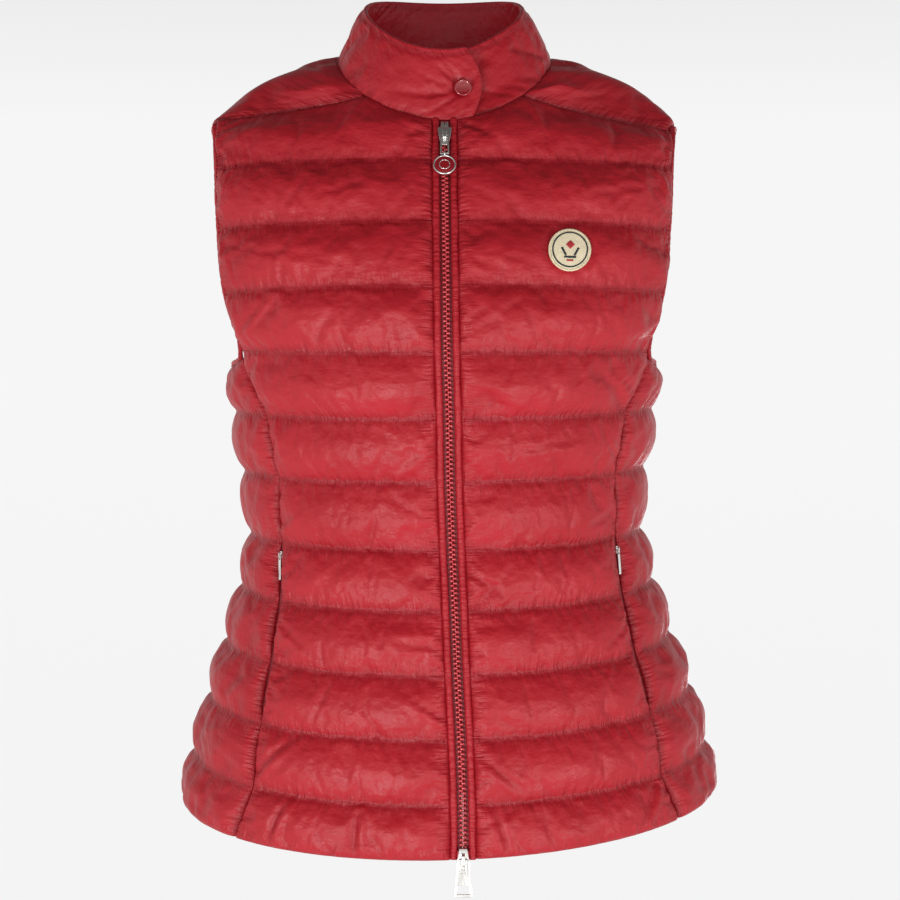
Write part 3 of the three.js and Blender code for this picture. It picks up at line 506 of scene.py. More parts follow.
class Finish:
    """A material under construction, with a Principled shader at its end."""

    def __init__(self, name):
        self.material = bpy.data.materials.new(name)
        self.material.use_nodes = True
        self.tree = self.material.node_tree
        self.tree.nodes.clear()
        self.shader = self.put("BsdfPrincipled")
        self.put("OutputMaterial", Surface=self.shader.outputs[0])

    def put(self, kind, settings=None, **inputs):
        node = self.tree.nodes.new("ShaderNode" + kind)
        for key, value in (settings or {}).items():
            setattr(node, key, value)
        for key, value in inputs.items():
            self.feed(node, key.replace("_", " "), value)
        return node

    def feed(self, node, key, value):
        socket = node.inputs[int(key[1:])] if key[0] == "n" and key[1:].isdigit() else node.inputs[key]
        if isinstance(value, bpy.types.NodeSocket):
            self.tree.links.new(value, socket)
        else:
            socket.default_value = value

    def surface(self, **inputs):
        for key, value in inputs.items():
            self.feed(self.shader, key.replace("_", " "), value)
        return self.material

    def place(self, uv=None):
        if uv:
            return self.put("Mapping", Vector=self.put("UVMap", {"uv_map": uv}).outputs[0]).outputs[0]
        return self.put("Mapping", Vector=self.put("TexCoord").outputs["Object"]).outputs[0]

    def stretched(self, place, scale=(1, 1, 1), turn=(0, 0, 0)):
        return self.put("Mapping", Vector=place, Scale=scale, Rotation=turn).outputs[0]

    def noise(self, place, scale, detail=2.0, roughness=0.5):
        return self.put("TexNoise", Vector=place, Scale=scale, Detail=detail, Roughness=roughness).outputs[0]

    def blend(self, factor, a, b, how="MIX"):
        return self.put("MixRGB", {"blend_type": how}, Fac=factor, Color1=a, Color2=b).outputs[0]

    def math(self, operation, a, b=0.0, clamp=False):
        return self.put("Math", {"operation": operation, "use_clamp": clamp}, n0=a, n1=b).outputs[0]

    def range(self, value, low, high, to_low, to_high):
        return self.put("MapRange", n0=value, n1=low, n2=high, n3=to_low, n4=to_high).outputs[0]

    def bump(self, height, strength, distance, normal=None):
        extra = {} if normal is None else {"Normal": normal}
        return self.put("Bump", Strength=strength, Distance=distance, Height=height, **extra).outputs[0]


    def wave(self, place, scale, direction="X"):
        return self.put("TexWave", {"bands_direction": direction}, Vector=place, Scale=scale).outputs["Fac"]


# %% [markdown]
# The shell is a thin, closely woven nylon with a soft shine. An image of cloth would repeat and would carry
# light of its own, so the finish is made from noise. Shade is painted into the colour: it is a little deeper
# along the seams and in the hollows of the cloth, where shade gathers. The bump holds the weave and the
# crinkles that are too fine for the mesh, and the crinkles run square to the nearest seam because the mesh
# says how near each seam is.

# %% Nylon shell
RED = linear(160, 22, 33)
# The darker red that is painted on as shade near the seams and in hollows of the cloth.
PAINTED_SHADE_RED = linear(98, 8, 18)
BRIGHT_RED = linear(176, 30, 42)


def nylon(name, crinkle=1.0):
    f = Finish(name)
    cloth = f.place(uv="cloth")
    seam, hollow_shade, across, beside = (f.put("Attribute", {"attribute_name": mark}).outputs["Fac"]
                                    for mark in ("seam", "hollow_shade", "across", "beside"))
    tone = f.blend(f.range(f.noise(cloth, 22, 4), 0.35, 0.7, 0, 0.6), RED, BRIGHT_RED)
    # Painted shade: near the seams and in hollows of the cloth the colour is mixed towards a darker red.
    painted_shade = f.math("ADD", f.math("MULTIPLY", seam, 0.22), f.math("MULTIPLY", hollow_shade, 0.16), clamp=True)
    colour = f.blend(painted_shade, tone, PAINTED_SHADE_RED)
    upright = f.noise(f.stretched(cloth, (420, 60, 1), (0, 0, 0.12)), 1.0, 2)
    level = f.noise(f.stretched(cloth, (70, 420, 1), (0, 0, 0.1)), 1.0, 2)
    puckers = f.math("ADD", f.math("MULTIPLY", upright, f.math("MULTIPLY", across, 0.8)),
                     f.math("MULTIPLY", level, f.math("MULTIPLY", beside, 0.55)))
    soft = f.math("MULTIPLY", f.noise(cloth, 110, 3, 0.5), 0.5)
    normal = f.bump(f.math("ADD", puckers, soft), 0.9 * crinkle, 0.0034)
    threads = f.math("ADD", f.wave(cloth, 900, "X"), f.wave(cloth, 900, "Y"))
    normal = f.bump(threads, 0.10, 0.00008, normal)
    shine = f.range(f.noise(cloth, 60, 3), 0.3, 0.7, 0.38, 0.5)
    return f.surface(Base_Color=colour, Roughness=shine, Normal=normal, Specular_IOR_Level=0.3,
                     Sheen_Weight=0.04, Sheen_Roughness=0.4, Sheen_Tint=linear(230, 120, 120))


shell_nylon = nylon("red_nylon_shell")
trim_nylon = nylon("red_nylon_trim", 1.3)
print("nylon:", shell_nylon.name, trim_nylon.name)

# %% [markdown]
# Thread and tape are twisted yarn, so a fine wave runs across them. The silver is polished, with a few
# scuffs that blur it in places. Enamel and the moulded teeth are glossy with a clear coat. Patterns read
# the object's own coordinates, so they stay on a piece when it swings.

# %% Thread, tape, metal, enamel and plastic
def thread(name, colour, pitch=1500, uneven=0.25):
    f = Finish(name)
    place = f.place()
    twist = f.wave(f.stretched(place, turn=(0.6, 0.3, 0.8)), pitch)
    tint = f.blend(f.range(f.noise(place, 240, 2), 0.3, 0.7, 0, uneven), colour, (0.02, 0.01, 0.01, 1))
    return f.surface(Base_Color=tint, Roughness=f.range(twist, 0, 1, 0.5, 0.7), Sheen_Weight=0.05,
                     Normal=f.bump(twist, 0.35, 0.00012))


def polished(name, colour, rough=0.2):
    f = Finish(name)
    place = f.place()
    scuffs = f.noise(f.stretched(place, (1, 1, 0.2)), 900, 4)
    tone = f.blend(f.range(f.noise(place, 160, 2), 0.3, 0.8, 0, 0.3), colour, (0.35, 0.35, 0.36, 1))
    return f.surface(Base_Color=tone, Metallic=1.0, Roughness=f.range(scuffs, 0.3, 0.8, rough, rough + 0.14),
                     Normal=f.bump(scuffs, 0.12, 0.00005))


def glossy(name, colour, rough=0.16, coat=0.6):
    f = Finish(name)
    place = f.place()
    swirl = f.noise(place, 320, 3)
    tone = f.blend(f.range(swirl, 0.35, 0.75, 0, 0.35), colour, tuple(0.6 * c for c in colour[:3]) + (1,))
    ripple = f.bump(f.noise(place, 700, 2), 0.08, 0.00004)
    return f.surface(Base_Color=tone, Roughness=f.range(swirl, 0.3, 0.8, rough, rough + 0.12), Normal=ripple,
                     Coat_Weight=coat, Coat_Roughness=0.08)


red_thread = thread("red_sewing_thread", linear(148, 22, 34), 1500, 0.12)
tape_weave = thread("red_woven_tape", linear(134, 16, 28), 1200, 0.15)
silver = polished("polished_silver", (0.84, 0.82, 0.78, 1), 0.2)
red_enamel = glossy("red_enamel", linear(140, 6, 20), 0.07, 1.0)
tooth_red = glossy("red_zip_teeth", linear(186, 46, 54), 0.22, 0.4)
cream_thread = thread("cream_embroidery", linear(226, 212, 178), 1300, 0.12)
navy_thread = thread("dark_embroidery", linear(24, 34, 44), 1300, 0.2)
badge_red_thread = thread("red_embroidery", linear(176, 34, 40), 1300, 0.2)
print("materials:", len(bpy.data.materials))

# %% [markdown]
# ## Making the panels
# The wall of a panel is closed all round: its outer and inner layers meet in a thin rim at every edge. The
# Solidify operator turns the grid into such a wall, and each of its sides then takes the points of its own
# layer. One subdivision rounds the small puckers. Four marks travel with the mesh for the material: how
# near a seam is and how far the cloth sinks below its neighbours, which both paint shade into the colour,
# and where the puckers run across or beside.

# %% The wall of a padded piece
def concavity(cloth, normals):
    """How far each point lies below its neighbours, spread a little, from 0 to 1."""
    p = np.pad(cloth, ((2, 2), (2, 2), (0, 0)), mode="edge")
    mean = (p[:-4, 2:-2] + p[4:, 2:-2] + p[2:-2, :-4] + p[2:-2, 4:]) / 4
    return np.clip(((mean - cloth) * normals).sum(-1) / 1.2, 0, 1)


def padded_wall(name, outer, inner, marks, material):
    bm, row_of, column_of = grid_mesh(outer.shape[0] - 1, outer.shape[1] - 1, marks)
    uv, side_of = bm.loops.layers.uv.new("cloth"), bm.verts.layers.int["side"]
    for vert in bm.verts:
        vert[side_of] = 1
    made = bmesh.ops.solidify(bm, geom=bm.faces[:], thickness=0.1)
    for vert in [g for g in made["geom"] if isinstance(g, bmesh.types.BMVert)]:
        vert[side_of] = 0
    bm.verts.ensure_lookup_table()
    for vert in bm.verts:
        source = outer if vert[side_of] else inner
        vert.co = Vector(source[vert[row_of], vert[column_of]]) * MM
    if bm.calc_volume(signed=True) < 0:
        bmesh.ops.reverse_faces(bm, faces=bm.faces)
    along, down = travelled(outer[len(outer) // 2]), travelled(outer[:, len(outer[0]) // 2])
    for face in bm.faces:
        for loop in face.loops:
            loop[uv].uv = (along[loop.vert[column_of]] * MM, down[loop.vert[row_of]] * MM)
    for mark, values in marks.items():
        layer = bm.verts.layers.float[mark]
        for vert in bm.verts:
            vert[layer] = float(values[vert[row_of], vert[column_of] if values.shape[1] > 1 else 0])
    for name_of in ("row", "column", "side"):
        bm.verts.layers.int.remove(bm.verts.layers.int[name_of])
    piece = finish_mesh(name, bm, material)
    smoothing = piece.modifiers.new("smooth", "SUBSURF")
    smoothing.levels = smoothing.render_levels = 1
    return piece


def near_lines(grid, reach):
    """1 on the stitch lines that run across the panel, fading to 0 over so many mm."""
    down = grid["down"]
    stitched = np.where(grid["share"] % 1 == 0)[0]
    gap = np.min(np.abs(down[:, None, :] - down[None, stitched, :]), axis=1)
    return np.exp(-((gap / reach) ** 2))


# %% [markdown]
# Each panel gets its outer layer, its flatter inner layer and the turned-up cloth that fattens the hem. Its
# stitch lines are kept in a list, because the thread is laid on them at the end.

# %% Build one panel
quilting = []
BADGE_LEVEL, BADGE_SHARE, BADGE_RADIUS = 2.47, 0.4, 15.5


def lining(grid, seed, puff):
    """How far the inner layer stands off the form: shallow channels with a few ripples."""
    body = fullness(grid["share"])[:, None]
    swell = PUFF_IN * body * (0.1 + 0.9 * np.clip(grid["edge"] / 12, 0, 1) ** 0.5)
    rng = np.random.default_rng(seed + 50)
    ripple = valleys(rng, grid["along"], grid["share"][:, None] * 40, grid["along"].max(), 9, 1.0, 30)
    return -STITCHED_WALL / 2 - swell * puff - 0.5 * ripple * body


def make_panel(name, grid, seed, puff=1.0, creases=(), flip=False, flat_at=None):
    lift, inner_lift = quilt(grid, seed, puff, creases), lining(grid, seed, puff)
    hem = np.where(grid["channel"] == grid["channel"].max())[0]
    turned_up = (ease((grid["share"][hem][:, None] - 0.55) / 0.45)
                 * np.clip(grid["edge"][hem] / 4, 0, 1) ** 0.5)
    lift[hem] += 2.4 * turned_up
    inner_lift[hem] -= 0.8 * turned_up
    away = np.full(lift.shape, np.inf)
    if flat_at is not None:
        away = np.linalg.norm(grid["here"] - flat_at, axis=-1)
        smooth = STITCHED_WALL / 2 + 0.93 * PUFF_OUT * fullness(grid["share"])[:, None]
        lift = mix(np.minimum(lift, smooth), lift, ease((away - BADGE_RADIUS + 0.5) / 7))
    outer = grid["here"] + grid["normal"] * lift[..., None]
    inner = grid["here"] + grid["normal"] * inner_lift[..., None]
    stitched = grid["share"] % 1 == 0
    pinned = np.zeros(lift.shape, bool)
    pinned[stitched] = True
    pinned[:, 0] = pinned[:, -1] = True
    pinned |= away < BADGE_RADIUS + 0.5
    outer = inflate(outer, pinned, flip=flip)
    # Painted shade: the panel is coloured darker close to its stitch lines and its edges, and in hollows of
    # its cloth.
    marks = {"across": near_lines(grid, 7), "beside": np.exp(-((grid["edge"] / 9) ** 2)),
             "seam": np.maximum(near_lines(grid, 1.6), np.exp(-((grid["edge"] / 1.6) ** 2))),
             "hollow_shade": concavity(outer, grid["normal"])}
    piece = padded_wall(name, outer, inner, marks, shell_nylon)
    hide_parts(name.replace("quilted_", ""))
    for row in np.where(stitched)[0][1:-1]:
        quilting.append((outer[row, 1:-1], grid["normal"][row, 1:-1]))
    print(name, outer.shape[:2], "points")


# %% [markdown]
# Five panels are made: two fronts, two side panels and a back that runs over the shoulders. The large
# creases are listed one by one, since a random one would fall in the wrong place. Each is (channel with its
# share down it, share across, length, slope in degrees, depth, width).

# %% Large creases
FRONT_CREASES = {
    -1: [(1.45, 0.3, 60, 12, 1.6, 3.0), (2.5, 0.62, 70, -8, 1.5, 3.2), (3.4, 0.82, 40, 38, 2.0, 3.0),
         (5.5, 0.12, 34, -28, 1.8, 2.8), (6.6, 0.9, 40, 30, 2.0, 3.0), (8.5, 0.85, 44, -34, 1.9, 3.2),
         (10.5, 0.9, 60, 42, 2.6, 3.6), (11.45, 0.42, 48, 80, 2.4, 3.4), (11.5, 0.8, 52, 66, 2.2, 3.4),
         (9.5, 0.1, 40, -32, 1.7, 2.8)],
    1: [(1.5, 0.7, 66, -10, 1.7, 3.2), (2.6, 0.2, 50, 14, 1.5, 3.0), (4.5, 0.85, 44, 36, 2.0, 3.0),
        (5.4, 0.5, 60, -8, 1.4, 3.0), (7.5, 0.08, 34, 30, 1.8, 2.8), (8.6, 0.9, 44, -32, 2.0, 3.0),
        (10.5, 0.12, 44, 40, 2.2, 3.2), (11.5, 0.12, 50, 72, 2.4, 3.2), (11.4, 0.85, 54, -62, 2.4, 3.6),
        (3.4, 0.1, 36, -30, 1.7, 2.8)],
}
SIDE_CREASES = [(4.5, 0.5, 34, 55, 1.4, 2.6), (6.5, 0.4, 38, -50, 1.6, 2.8), (7.5, 0.6, 44, 62, 2.2, 3.0),
                (7.4, 0.3, 40, 82, 2.4, 3.0), (6.5, 0.7, 44, 96, 2.0, 3.0)]
BACK_CREASES = [(1.5, 0.3, 80, 6, 1.6, 3.4), (3.5, 0.7, 90, -7, 1.7, 3.4), (5.5, 0.12, 60, 26, 1.9, 3.2),
                (7.5, 0.85, 70, -30, 2.0, 3.4), (9.5, 0.45, 90, 5, 1.6, 3.4), (11.5, 0.2, 60, 34, 2.2, 3.4),
                (11.4, 0.6, 70, -12, 1.8, 3.4), (12.5, 0.3, 50, 74, 2.4, 3.4),
                (12.4, 0.72, 50, -70, 2.4, 3.6)]
SIDES = (("right", -1), ("left", 1))
print("creases:", sum(len(c) for c in FRONT_CREASES.values()) + 2 * len(SIDE_CREASES) + len(BACK_CREASES))

# %% [markdown]
# A front runs from the zip to the side-front seam, and its outer edge gives way to the armhole binding, the
# pocket mouth and the shoulder. The trim functions say how many mm each edge stays short of the form at a
# level.

# %% Fronts, side panels and back
SHOULDER_SPREAD = 3.2


def evens(first, last):
    return [(k, k + 1) for k in range(first, last)]


def front_trim(v):
    spread = SHOULDER_SPREAD * float(ease((1.1 - v) / 1.1))
    return SEAM_GAP, max(float(binding_room(v)), float(mouth_room(v))) - spread


def side_trim(v):
    return float(mouth_room(v + UNDERARM - 1)), SEAM_GAP


def back_trim(v):
    return (float(binding_room(v - BACK_START)),) * 2


for side, sign in SIDES:
    grid = panel_grid(FRONT[sign], evens(0, HEM), [13] * HEM, 64, (0, 1), front_trim, -sign, -0.01)
    under_badge = loft(FRONT[1], BADGE_LEVEL, np.array([BADGE_SHARE]))[0] if sign > 0 else None
    make_panel("quilted_front_" + side, grid, 11 + sign, creases=FRONT_CREASES[sign], flip=sign > 0,
               flat_at=under_badge)
    grid = panel_grid(SIDE[sign], evens(1, HEM - UNDERARM + 1), [12] * (HEM - UNDERARM), 28, (0, 1),
                      side_trim, -sign, 0.0, top=dip)
    make_panel("quilted_side_" + side, grid, 31 + sign, 0.85, creases=SIDE_CREASES, flip=sign > 0)
back_channels = [(0, BACK_START)] + evens(BACK_START, HEM + BACK_START)
grid = panel_grid(BACK, back_channels, [14] + [10] * HEM, 90, (-1, 1), back_trim, 1, -0.01,
                  steer=over_shoulder)
make_panel("quilted_back", grid, 71, creases=BACK_CREASES)

# %% [markdown]
# ## Collar
# The collar is a padded band whose right end laps over the left one and is held by a press stud; left and
# right are the wearer's. It is lofted from the neckline up to a narrower ellipse, and its under end is set
# inwards so that the two ends pass. Its foot is gathered into the neck seam, so short folds stand up from
# there, and the inside carries deeper ones.

# %% Form of the collar
COLLAR = dict(half=56, depth=58, middle=28, tilt=26, crown=12, belly=-1, seat=-0.7, edge=2.6, full=7,
              over=16, bulge=8, under=5, inset=8.5, fades=50, foot_inset=3.6, foot_fades=12)


def collar_point(degrees, share):
    angle = np.radians(degrees)
    foot = neck_point(angle)
    top = points(COLLAR["half"] * np.sin(angle), -COLLAR["depth"] * np.cos(angle),
                 COLLAR["middle"] - COLLAR["tilt"] * np.cos(angle) + COLLAR["crown"] * np.sin(angle) ** 2)
    height = np.linalg.norm(top - foot, axis=-1, keepdims=True)
    t = mix(COLLAR["seat"] / height, 1, np.asarray(share)[..., None])
    base = mix(foot, top, t)
    belly = (COLLAR["belly"] * np.sin(math.pi * t))[..., 0]
    return base + points(belly * np.sin(angle), -belly * np.cos(angle), 0)


def collar_grid(rows=22, columns=190):
    """Places, normals, shares up the collar, degrees round it, and degrees from its nearer end."""
    share = np.linspace(0, 1, rows + 1)[:, None] * np.ones(columns + 1)
    j = np.linspace(0, 1, columns + 1)[None, :]
    over = COLLAR["over"] + COLLAR["bulge"] * np.sin(math.pi * share)
    degrees = mix(over, COLLAR["under"] - 360, j)
    along = collar_point(degrees - 0.5, share) - collar_point(degrees + 0.5, share)
    above, below = np.minimum(1, share + 0.02), np.maximum(0, share - 0.02)
    up = collar_point(degrees, above) - collar_point(degrees, below)
    normal = -unit(np.cross(along, up))
    past = degrees + 360
    beyond = past - COLLAR["under"] - 18
    at_foot = COLLAR["foot_inset"] * (1 - ease(beyond / COLLAR["foot_fades"]))
    at_top = COLLAR["inset"] * (1 - ease(beyond / COLLAR["fades"]))
    inset = mix(at_foot, at_top, ease(share / 0.3)) * (past < 180)
    ends = np.minimum(over - degrees, past - COLLAR["under"])
    here = collar_point(degrees, share) - normal * inset[..., None]
    return here, normal, share, degrees, ends


here, normal, share, degrees, ends = collar_grid()
run, rise = travelled(here, axis=1), travelled(here)
print("collar: %.0f mm long, %.0f mm high behind" % (run[0].max(), rise[-1, len(rise[0]) // 2]))

# %% [markdown]
# Short folds leave the foot and the top hem of the collar, and longer ones run out from the press stud,
# which pulls the cloth together. A row of stitching presses a shallow groove 5 mm below the top edge.

# %% Folds of the collar
padding = 0.1 + 0.9 * np.sqrt(1 - (1 - np.clip(ends * 1.2 / 15, 0, 1)) ** 2)
full = (1 - np.abs(2 * share - 1) ** 2.6) * padding
half = (COLLAR["edge"] + (COLLAR["full"] - COLLAR["edge"]) * full) / 2
rng = np.random.default_rng(5)
hem_rise = rise[-1] - rise
folds = (valleys(rng, run, rise, run.max(), 8, 2.0, 17, 0.5)
         + valleys(rng, run, hem_rise, run.max(), 9, 1.0, 9, 0.5))
SNAP_DEGREES, SNAP_ROW, TOP_STITCH = 11, 9, 5
SNAP_CREASES = ((192, 58, 2.6), (168, 34, 1.8), (133, 26, 2.4), (112, 22, 2.0),
                (38, 20, 2.0), (222, 34, 2.2), (250, 18, 1.6), (300, 16, 1.4))
snap_run = run[SNAP_ROW, np.argmin(np.abs(degrees[SNAP_ROW] - SNAP_DEGREES))]
dx, dy = run - snap_run, rise - rise[SNAP_ROW, 4]
for slope, length, deep in SNAP_CREASES:
    cos, sin = -math.cos(math.radians(slope)), math.sin(math.radians(slope))
    along, off = dx * cos + dy * sin, -dx * sin + dy * cos
    fade = np.clip(1 - along / length, 0, 1) * np.clip(along / 4, 0, 1)
    folds = folds - 1.7 * deep * fade * np.exp(-((off / (1.15 + 0.035 * np.abs(along))) ** 2))
folds -= 1.3 * np.exp(-((np.hypot(dx, dy) / 8) ** 2))
stitch_dip = 0.7 * np.exp(-((hem_rise - TOP_STITCH) ** 2) / 2.4)
outer = here + normal * (half + folds * np.clip(ends / 3, 0, 1) - stitch_dip)[..., None]
inside_folds = (valleys(rng, run, rise, run.max(), 10, 3.4, 40, 0.15)
                + valleys(rng, run, hem_rise, run.max(), 11, 2.6, 26, 0.3))
inner = here - normal * (half + inside_folds * 0.9 - stitch_dip)[..., None]
print("deepest fold: %.1f mm outside, %.1f mm inside" % (-folds.min(), -inside_folds.min()))

# %% Collar
pinned = np.zeros(share.shape, bool)
pinned[0] = pinned[-1] = True
pinned[:, 0] = pinned[:, -1] = True
pinned |= (np.abs(hem_rise - TOP_STITCH) < 1.4) | (np.hypot(dx, dy) < 14)
outer = inflate(outer, pinned, growth=0.03, pressure=2.0, cap=1.2, flip=True)
closeness = np.exp(-((np.minimum.reduce([rise, hem_rise, np.abs(hem_rise - TOP_STITCH)]) / 3) ** 2))
# Painted shade: the collar is coloured darker near its foot, its top edge and its row of stitching, and in
# hollows of its cloth.
marks = {"seam": closeness ** 3, "across": 0.4 * closeness, "beside": 0.4 * np.exp(-((ends / 8) ** 2)),
         "hollow_shade": concavity(outer, normal)}
collar = padded_wall("padded_collar", outer, inner, marks, shell_nylon)
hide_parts("collar")
stitch_row = int(np.argmin(np.abs(hem_rise[:, 60] - TOP_STITCH)))
quilting.append((outer[stitch_row, 2:-2], normal[stitch_row, 2:-2]))
print("collar", outer.shape[:2])

# %% [markdown]
# ## Armhole bindings
# Each armhole is edged with a narrow strip of the same nylon, folded over the raw edge and drawn in
# slightly, which leaves it wrinkled all the way round. A curve with a bevel would be quick, but its
# wrinkles couldn't differ, so the strip is a closed grid swept along the edges of the three panels that it
# joins.

# %% Path of a binding
def armhole_path(sign):
    """Places round an armhole, the direction into the cloth there, and the direction out of it."""
    middle = 2.2
    centres, intos, outs = [], [], []

    def station(rows, v, s, inward, shift):
        here, normal, along_s, along_v = (a[0] for a in loft_frame(rows, v, np.array([s], float), 1))
        if rows is BACK:
            normal = over_shoulder(v, here[None], normal[None])[0]
        into = {"s": -along_s, "back": -sign * along_s, "v": along_v}[inward]
        centres.append(here + into * shift)
        intos.append(into)
        outs.append(-normal if normal[0] * sign < 0 else normal)

    for v in (0.12, 0.5, 1, 1.5, 2, 2.5, 3, 3.4, 3.72):
        station(FRONT[sign], v, 1, "s", middle - SHOULDER_SPREAD * float(ease((1.1 - v) / 1.1)))
    for s in (0.1, 0.3, 0.5, 0.7, 0.9):
        station(SIDE[sign], 1 + float(dip(s)), s, "v", -1.4)
    for v in (3.72, 3.4, 3, 2.5, 2, 1.5, 1, 0.5, 0, -0.8, -1.6, -2.3):
        station(BACK, v + BACK_START, sign, "back", middle)
    return np.array(centres), np.array(intos), np.array(outs)


def closed_line(at, count):
    """A smooth closed line through a ring of points, as count + 1 points whose last is its first."""
    result = []
    for t in np.linspace(0, len(at), count + 1):
        i = int(t) % len(at)
        a, b, c, d = (at[(i + k) % len(at)] for k in (-1, 0, 1, 2))
        result.append(cubic(a, b, c, d, t - int(t)))
    line = np.array(result[:-1])
    for _ in range(6):
        line = (np.roll(line, 1, axis=0) + 2 * line + np.roll(line, -1, axis=0)) / 4
    return np.vstack([line, line[:1]])


def band(name, grid_points, material):
    """A closed band from a grid whose last row and column repeat its first ones."""
    bm, row_of, column_of = grid_mesh(grid_points.shape[0] - 1, grid_points.shape[1] - 1)
    layer = bm.loops.layers.uv.new("cloth")
    around = travelled(grid_points[:, 0])
    for face in bm.faces:
        for loop in face.loops:
            loop[layer].uv = (loop.vert[column_of] * 0.0009, around[loop.vert[row_of]] * MM)
    for vert in bm.verts:
        vert.co = Vector(grid_points[vert[row_of], vert[column_of]]) * MM
    bmesh.ops.remove_doubles(bm, verts=bm.verts, dist=1e-6)
    bmesh.ops.recalc_face_normals(bm, faces=bm.faces)
    return finish_mesh(name, bm, material)


# %% Bindings
for side, sign in SIDES:
    count = 300
    centre, into, out = (closed_line(a, count) for a in armhole_path(sign))
    rng = np.random.default_rng(90 + sign)
    length = travelled(centre)
    turns = np.linspace(0, 2 * math.pi, 15)
    wrinkle = np.zeros((count + 1, len(turns)))
    x = 0.0
    while x < length[-1]:
        gap = np.abs((length - x + length[-1] / 2) % length[-1] - length[-1] / 2)
        lean = rng.uniform(-1.2, 1.2)
        profile = np.exp(-(((gap[:, None] - lean * np.sin(turns)) / rng.uniform(0.8, 1.4)) ** 2))
        wrinkle -= rng.uniform(0.15, 0.5) * profile
        x += rng.uniform(2.4, 6.5)
    half_width, half_thick = BINDING_WIDTH / 2, STITCHED_WALL / 2 + 0.5
    across = np.sign(np.cos(turns)) * np.abs(np.cos(turns)) ** 0.7 * half_width
    through = np.sign(np.sin(turns)) * np.abs(np.sin(turns)) ** 0.7 * half_thick
    loop = (centre[:, None] + into[:, None] * (across + wrinkle * 0.5 * np.cos(turns))[..., None]
            + out[:, None] * (through + wrinkle * np.sin(turns))[..., None])
    loop[-1], loop[:, -1] = loop[0], loop[:, 0]
    binding = band("binding_" + side, loop, trim_nylon)
    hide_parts("armhole_binding_" + side)
    edge = centre + into * (half_width * 0.55) + out * (half_thick * 0.98)
    quilting.append((edge[:-1], out[:-1]))
    print("binding %s: %.0f mm long" % (side, length[-1]))

# %% [markdown]
# ## Front zip
# The zip is a row of moulded teeth on two woven tapes. A narrow padded welt of shell nylon runs down each
# side of it, stitched along its edge. All of it follows one line down the middle of the fronts, so that
# line is measured once, and everything on the zip is placed by how many mm it lies down the line.

# %% The line of the zip
def zip_line(v):
    def middle(level):
        return (loft(FRONT[-1], level, np.zeros(1)) + loft(FRONT[1], level, np.zeros(1)))[0] / 2
    up = middle(max(0, v - 0.05)) - middle(min(HEM, v + 0.05))
    up[0] = 0
    up = unit(up)
    across = np.array([1.0, 0, 0])
    return middle(v), up, across, -np.cross(up, across)


ZIP_LEVELS = np.linspace(0, HEM, 481)
ZIP_FRAMES = [np.array(a) for a in zip(*(zip_line(v) for v in ZIP_LEVELS))]
ZIP_LENGTH = travelled(ZIP_FRAMES[0])


def zip_at(length):
    """The zip's frame so many mm down its line, as (point, up, across, out)."""
    return [np.array([np.interp(length, ZIP_LENGTH, a[:, k]) for k in range(3)]) for a in ZIP_FRAMES]


def level_length(level):
    return float(np.interp(level, ZIP_LEVELS, ZIP_LENGTH))


def on_zip(length, lift, x=0.0):
    here, up, across, out = zip_at(length)
    place = Matrix(np.column_stack([across, up, out]).tolist()).to_4x4()
    place.translation = Vector(here + across * x + out * lift)
    return Matrix.Scale(MM, 4) @ place


print("zip: %.0f mm" % ZIP_LENGTH[-1])

# %% Welts and tapes
def strip(columns, length_from, length_to, rows, height):
    """Outer points of a strip along the zip. columns are mm across, and height(row, column) is mm out."""
    grid = []
    for i, length in enumerate(np.linspace(length_from, length_to, rows + 1)):
        here, up, across, out = zip_at(length)
        grid.append([here + across * x + out * height(i, j) for j, x in enumerate(columns)])
    return np.array(grid)


for side, sign in SIDES:
    rows, columns = 260, np.sort(np.linspace(3.7, 8.9, 8) * sign)
    rng = np.random.default_rng(120 + sign)
    first, last = level_length(0.03) - 1, level_length(HEM)
    run = np.linspace(first, last, rows + 1)[:, None] * np.ones(len(columns))
    from_left = np.abs(columns - columns[0])[None] * np.ones((rows + 1, 1))
    ripple = (valleys(rng, run - first, from_left, last - first, 5, 0.75, 6, 0.8)
              + valleys(rng, run - first, from_left[:, ::-1], last - first, 5, 0.75, 6, 0.8))
    arch = np.sin(math.pi * np.linspace(0, 1, len(columns)))
    front = 1.3 + 2.0 * arch ** 0.7 + ripple * arch
    outer = strip(columns, first, last, rows, lambda i, j: front[i, j])
    inner = strip(columns, first, last, rows, lambda i, j: 0.0)
    # Painted shade: the welt is coloured darker along its long edges and in the valleys of its ripples.
    marks = {"seam": np.ones((rows + 1, 1)) * (1 - arch)[None] ** 4, "hollow_shade": np.clip(-ripple, 0, 1) * 0.5,
             "beside": np.full((rows + 1, len(columns)), 0.7)}
    welt = padded_wall("welt_" + side, outer, inner, marks, shell_nylon)
    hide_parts("zip_welt_" + side)
    quilting.append((strip([7.3 * sign], first, last, rows, lambda i, j: 2.05)[:, 0],
                     np.array([zip_at(q)[3] for q in run[:, 0]])))
    columns = np.sort(np.array([0.5, 2.5, 4.5, 9.8]) * sign)
    outer = strip(columns, first, last, 120, lambda i, j: -0.3)
    inner = strip(columns, first, last, 120, lambda i, j: -1.2)
    tape = padded_wall("tape_" + side, outer, inner, {}, tape_weave)
    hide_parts("zip_tape_" + side)
    length = (last - first) * MM
    print("zip tape %s: %.0f mm" % (side, length / MM))

# %% [markdown]
# Hard pieces come from three simple solids: a block with rounded edges, a shape turned on a lathe, and a
# ring of round wire. A bevel catches the light as a real edge does. Several of them are gathered into one
# piece.

# %% Solids for the hard pieces
def painted(bm, material):
    for face in bm.faces:
        face.material_index = material
    return bm


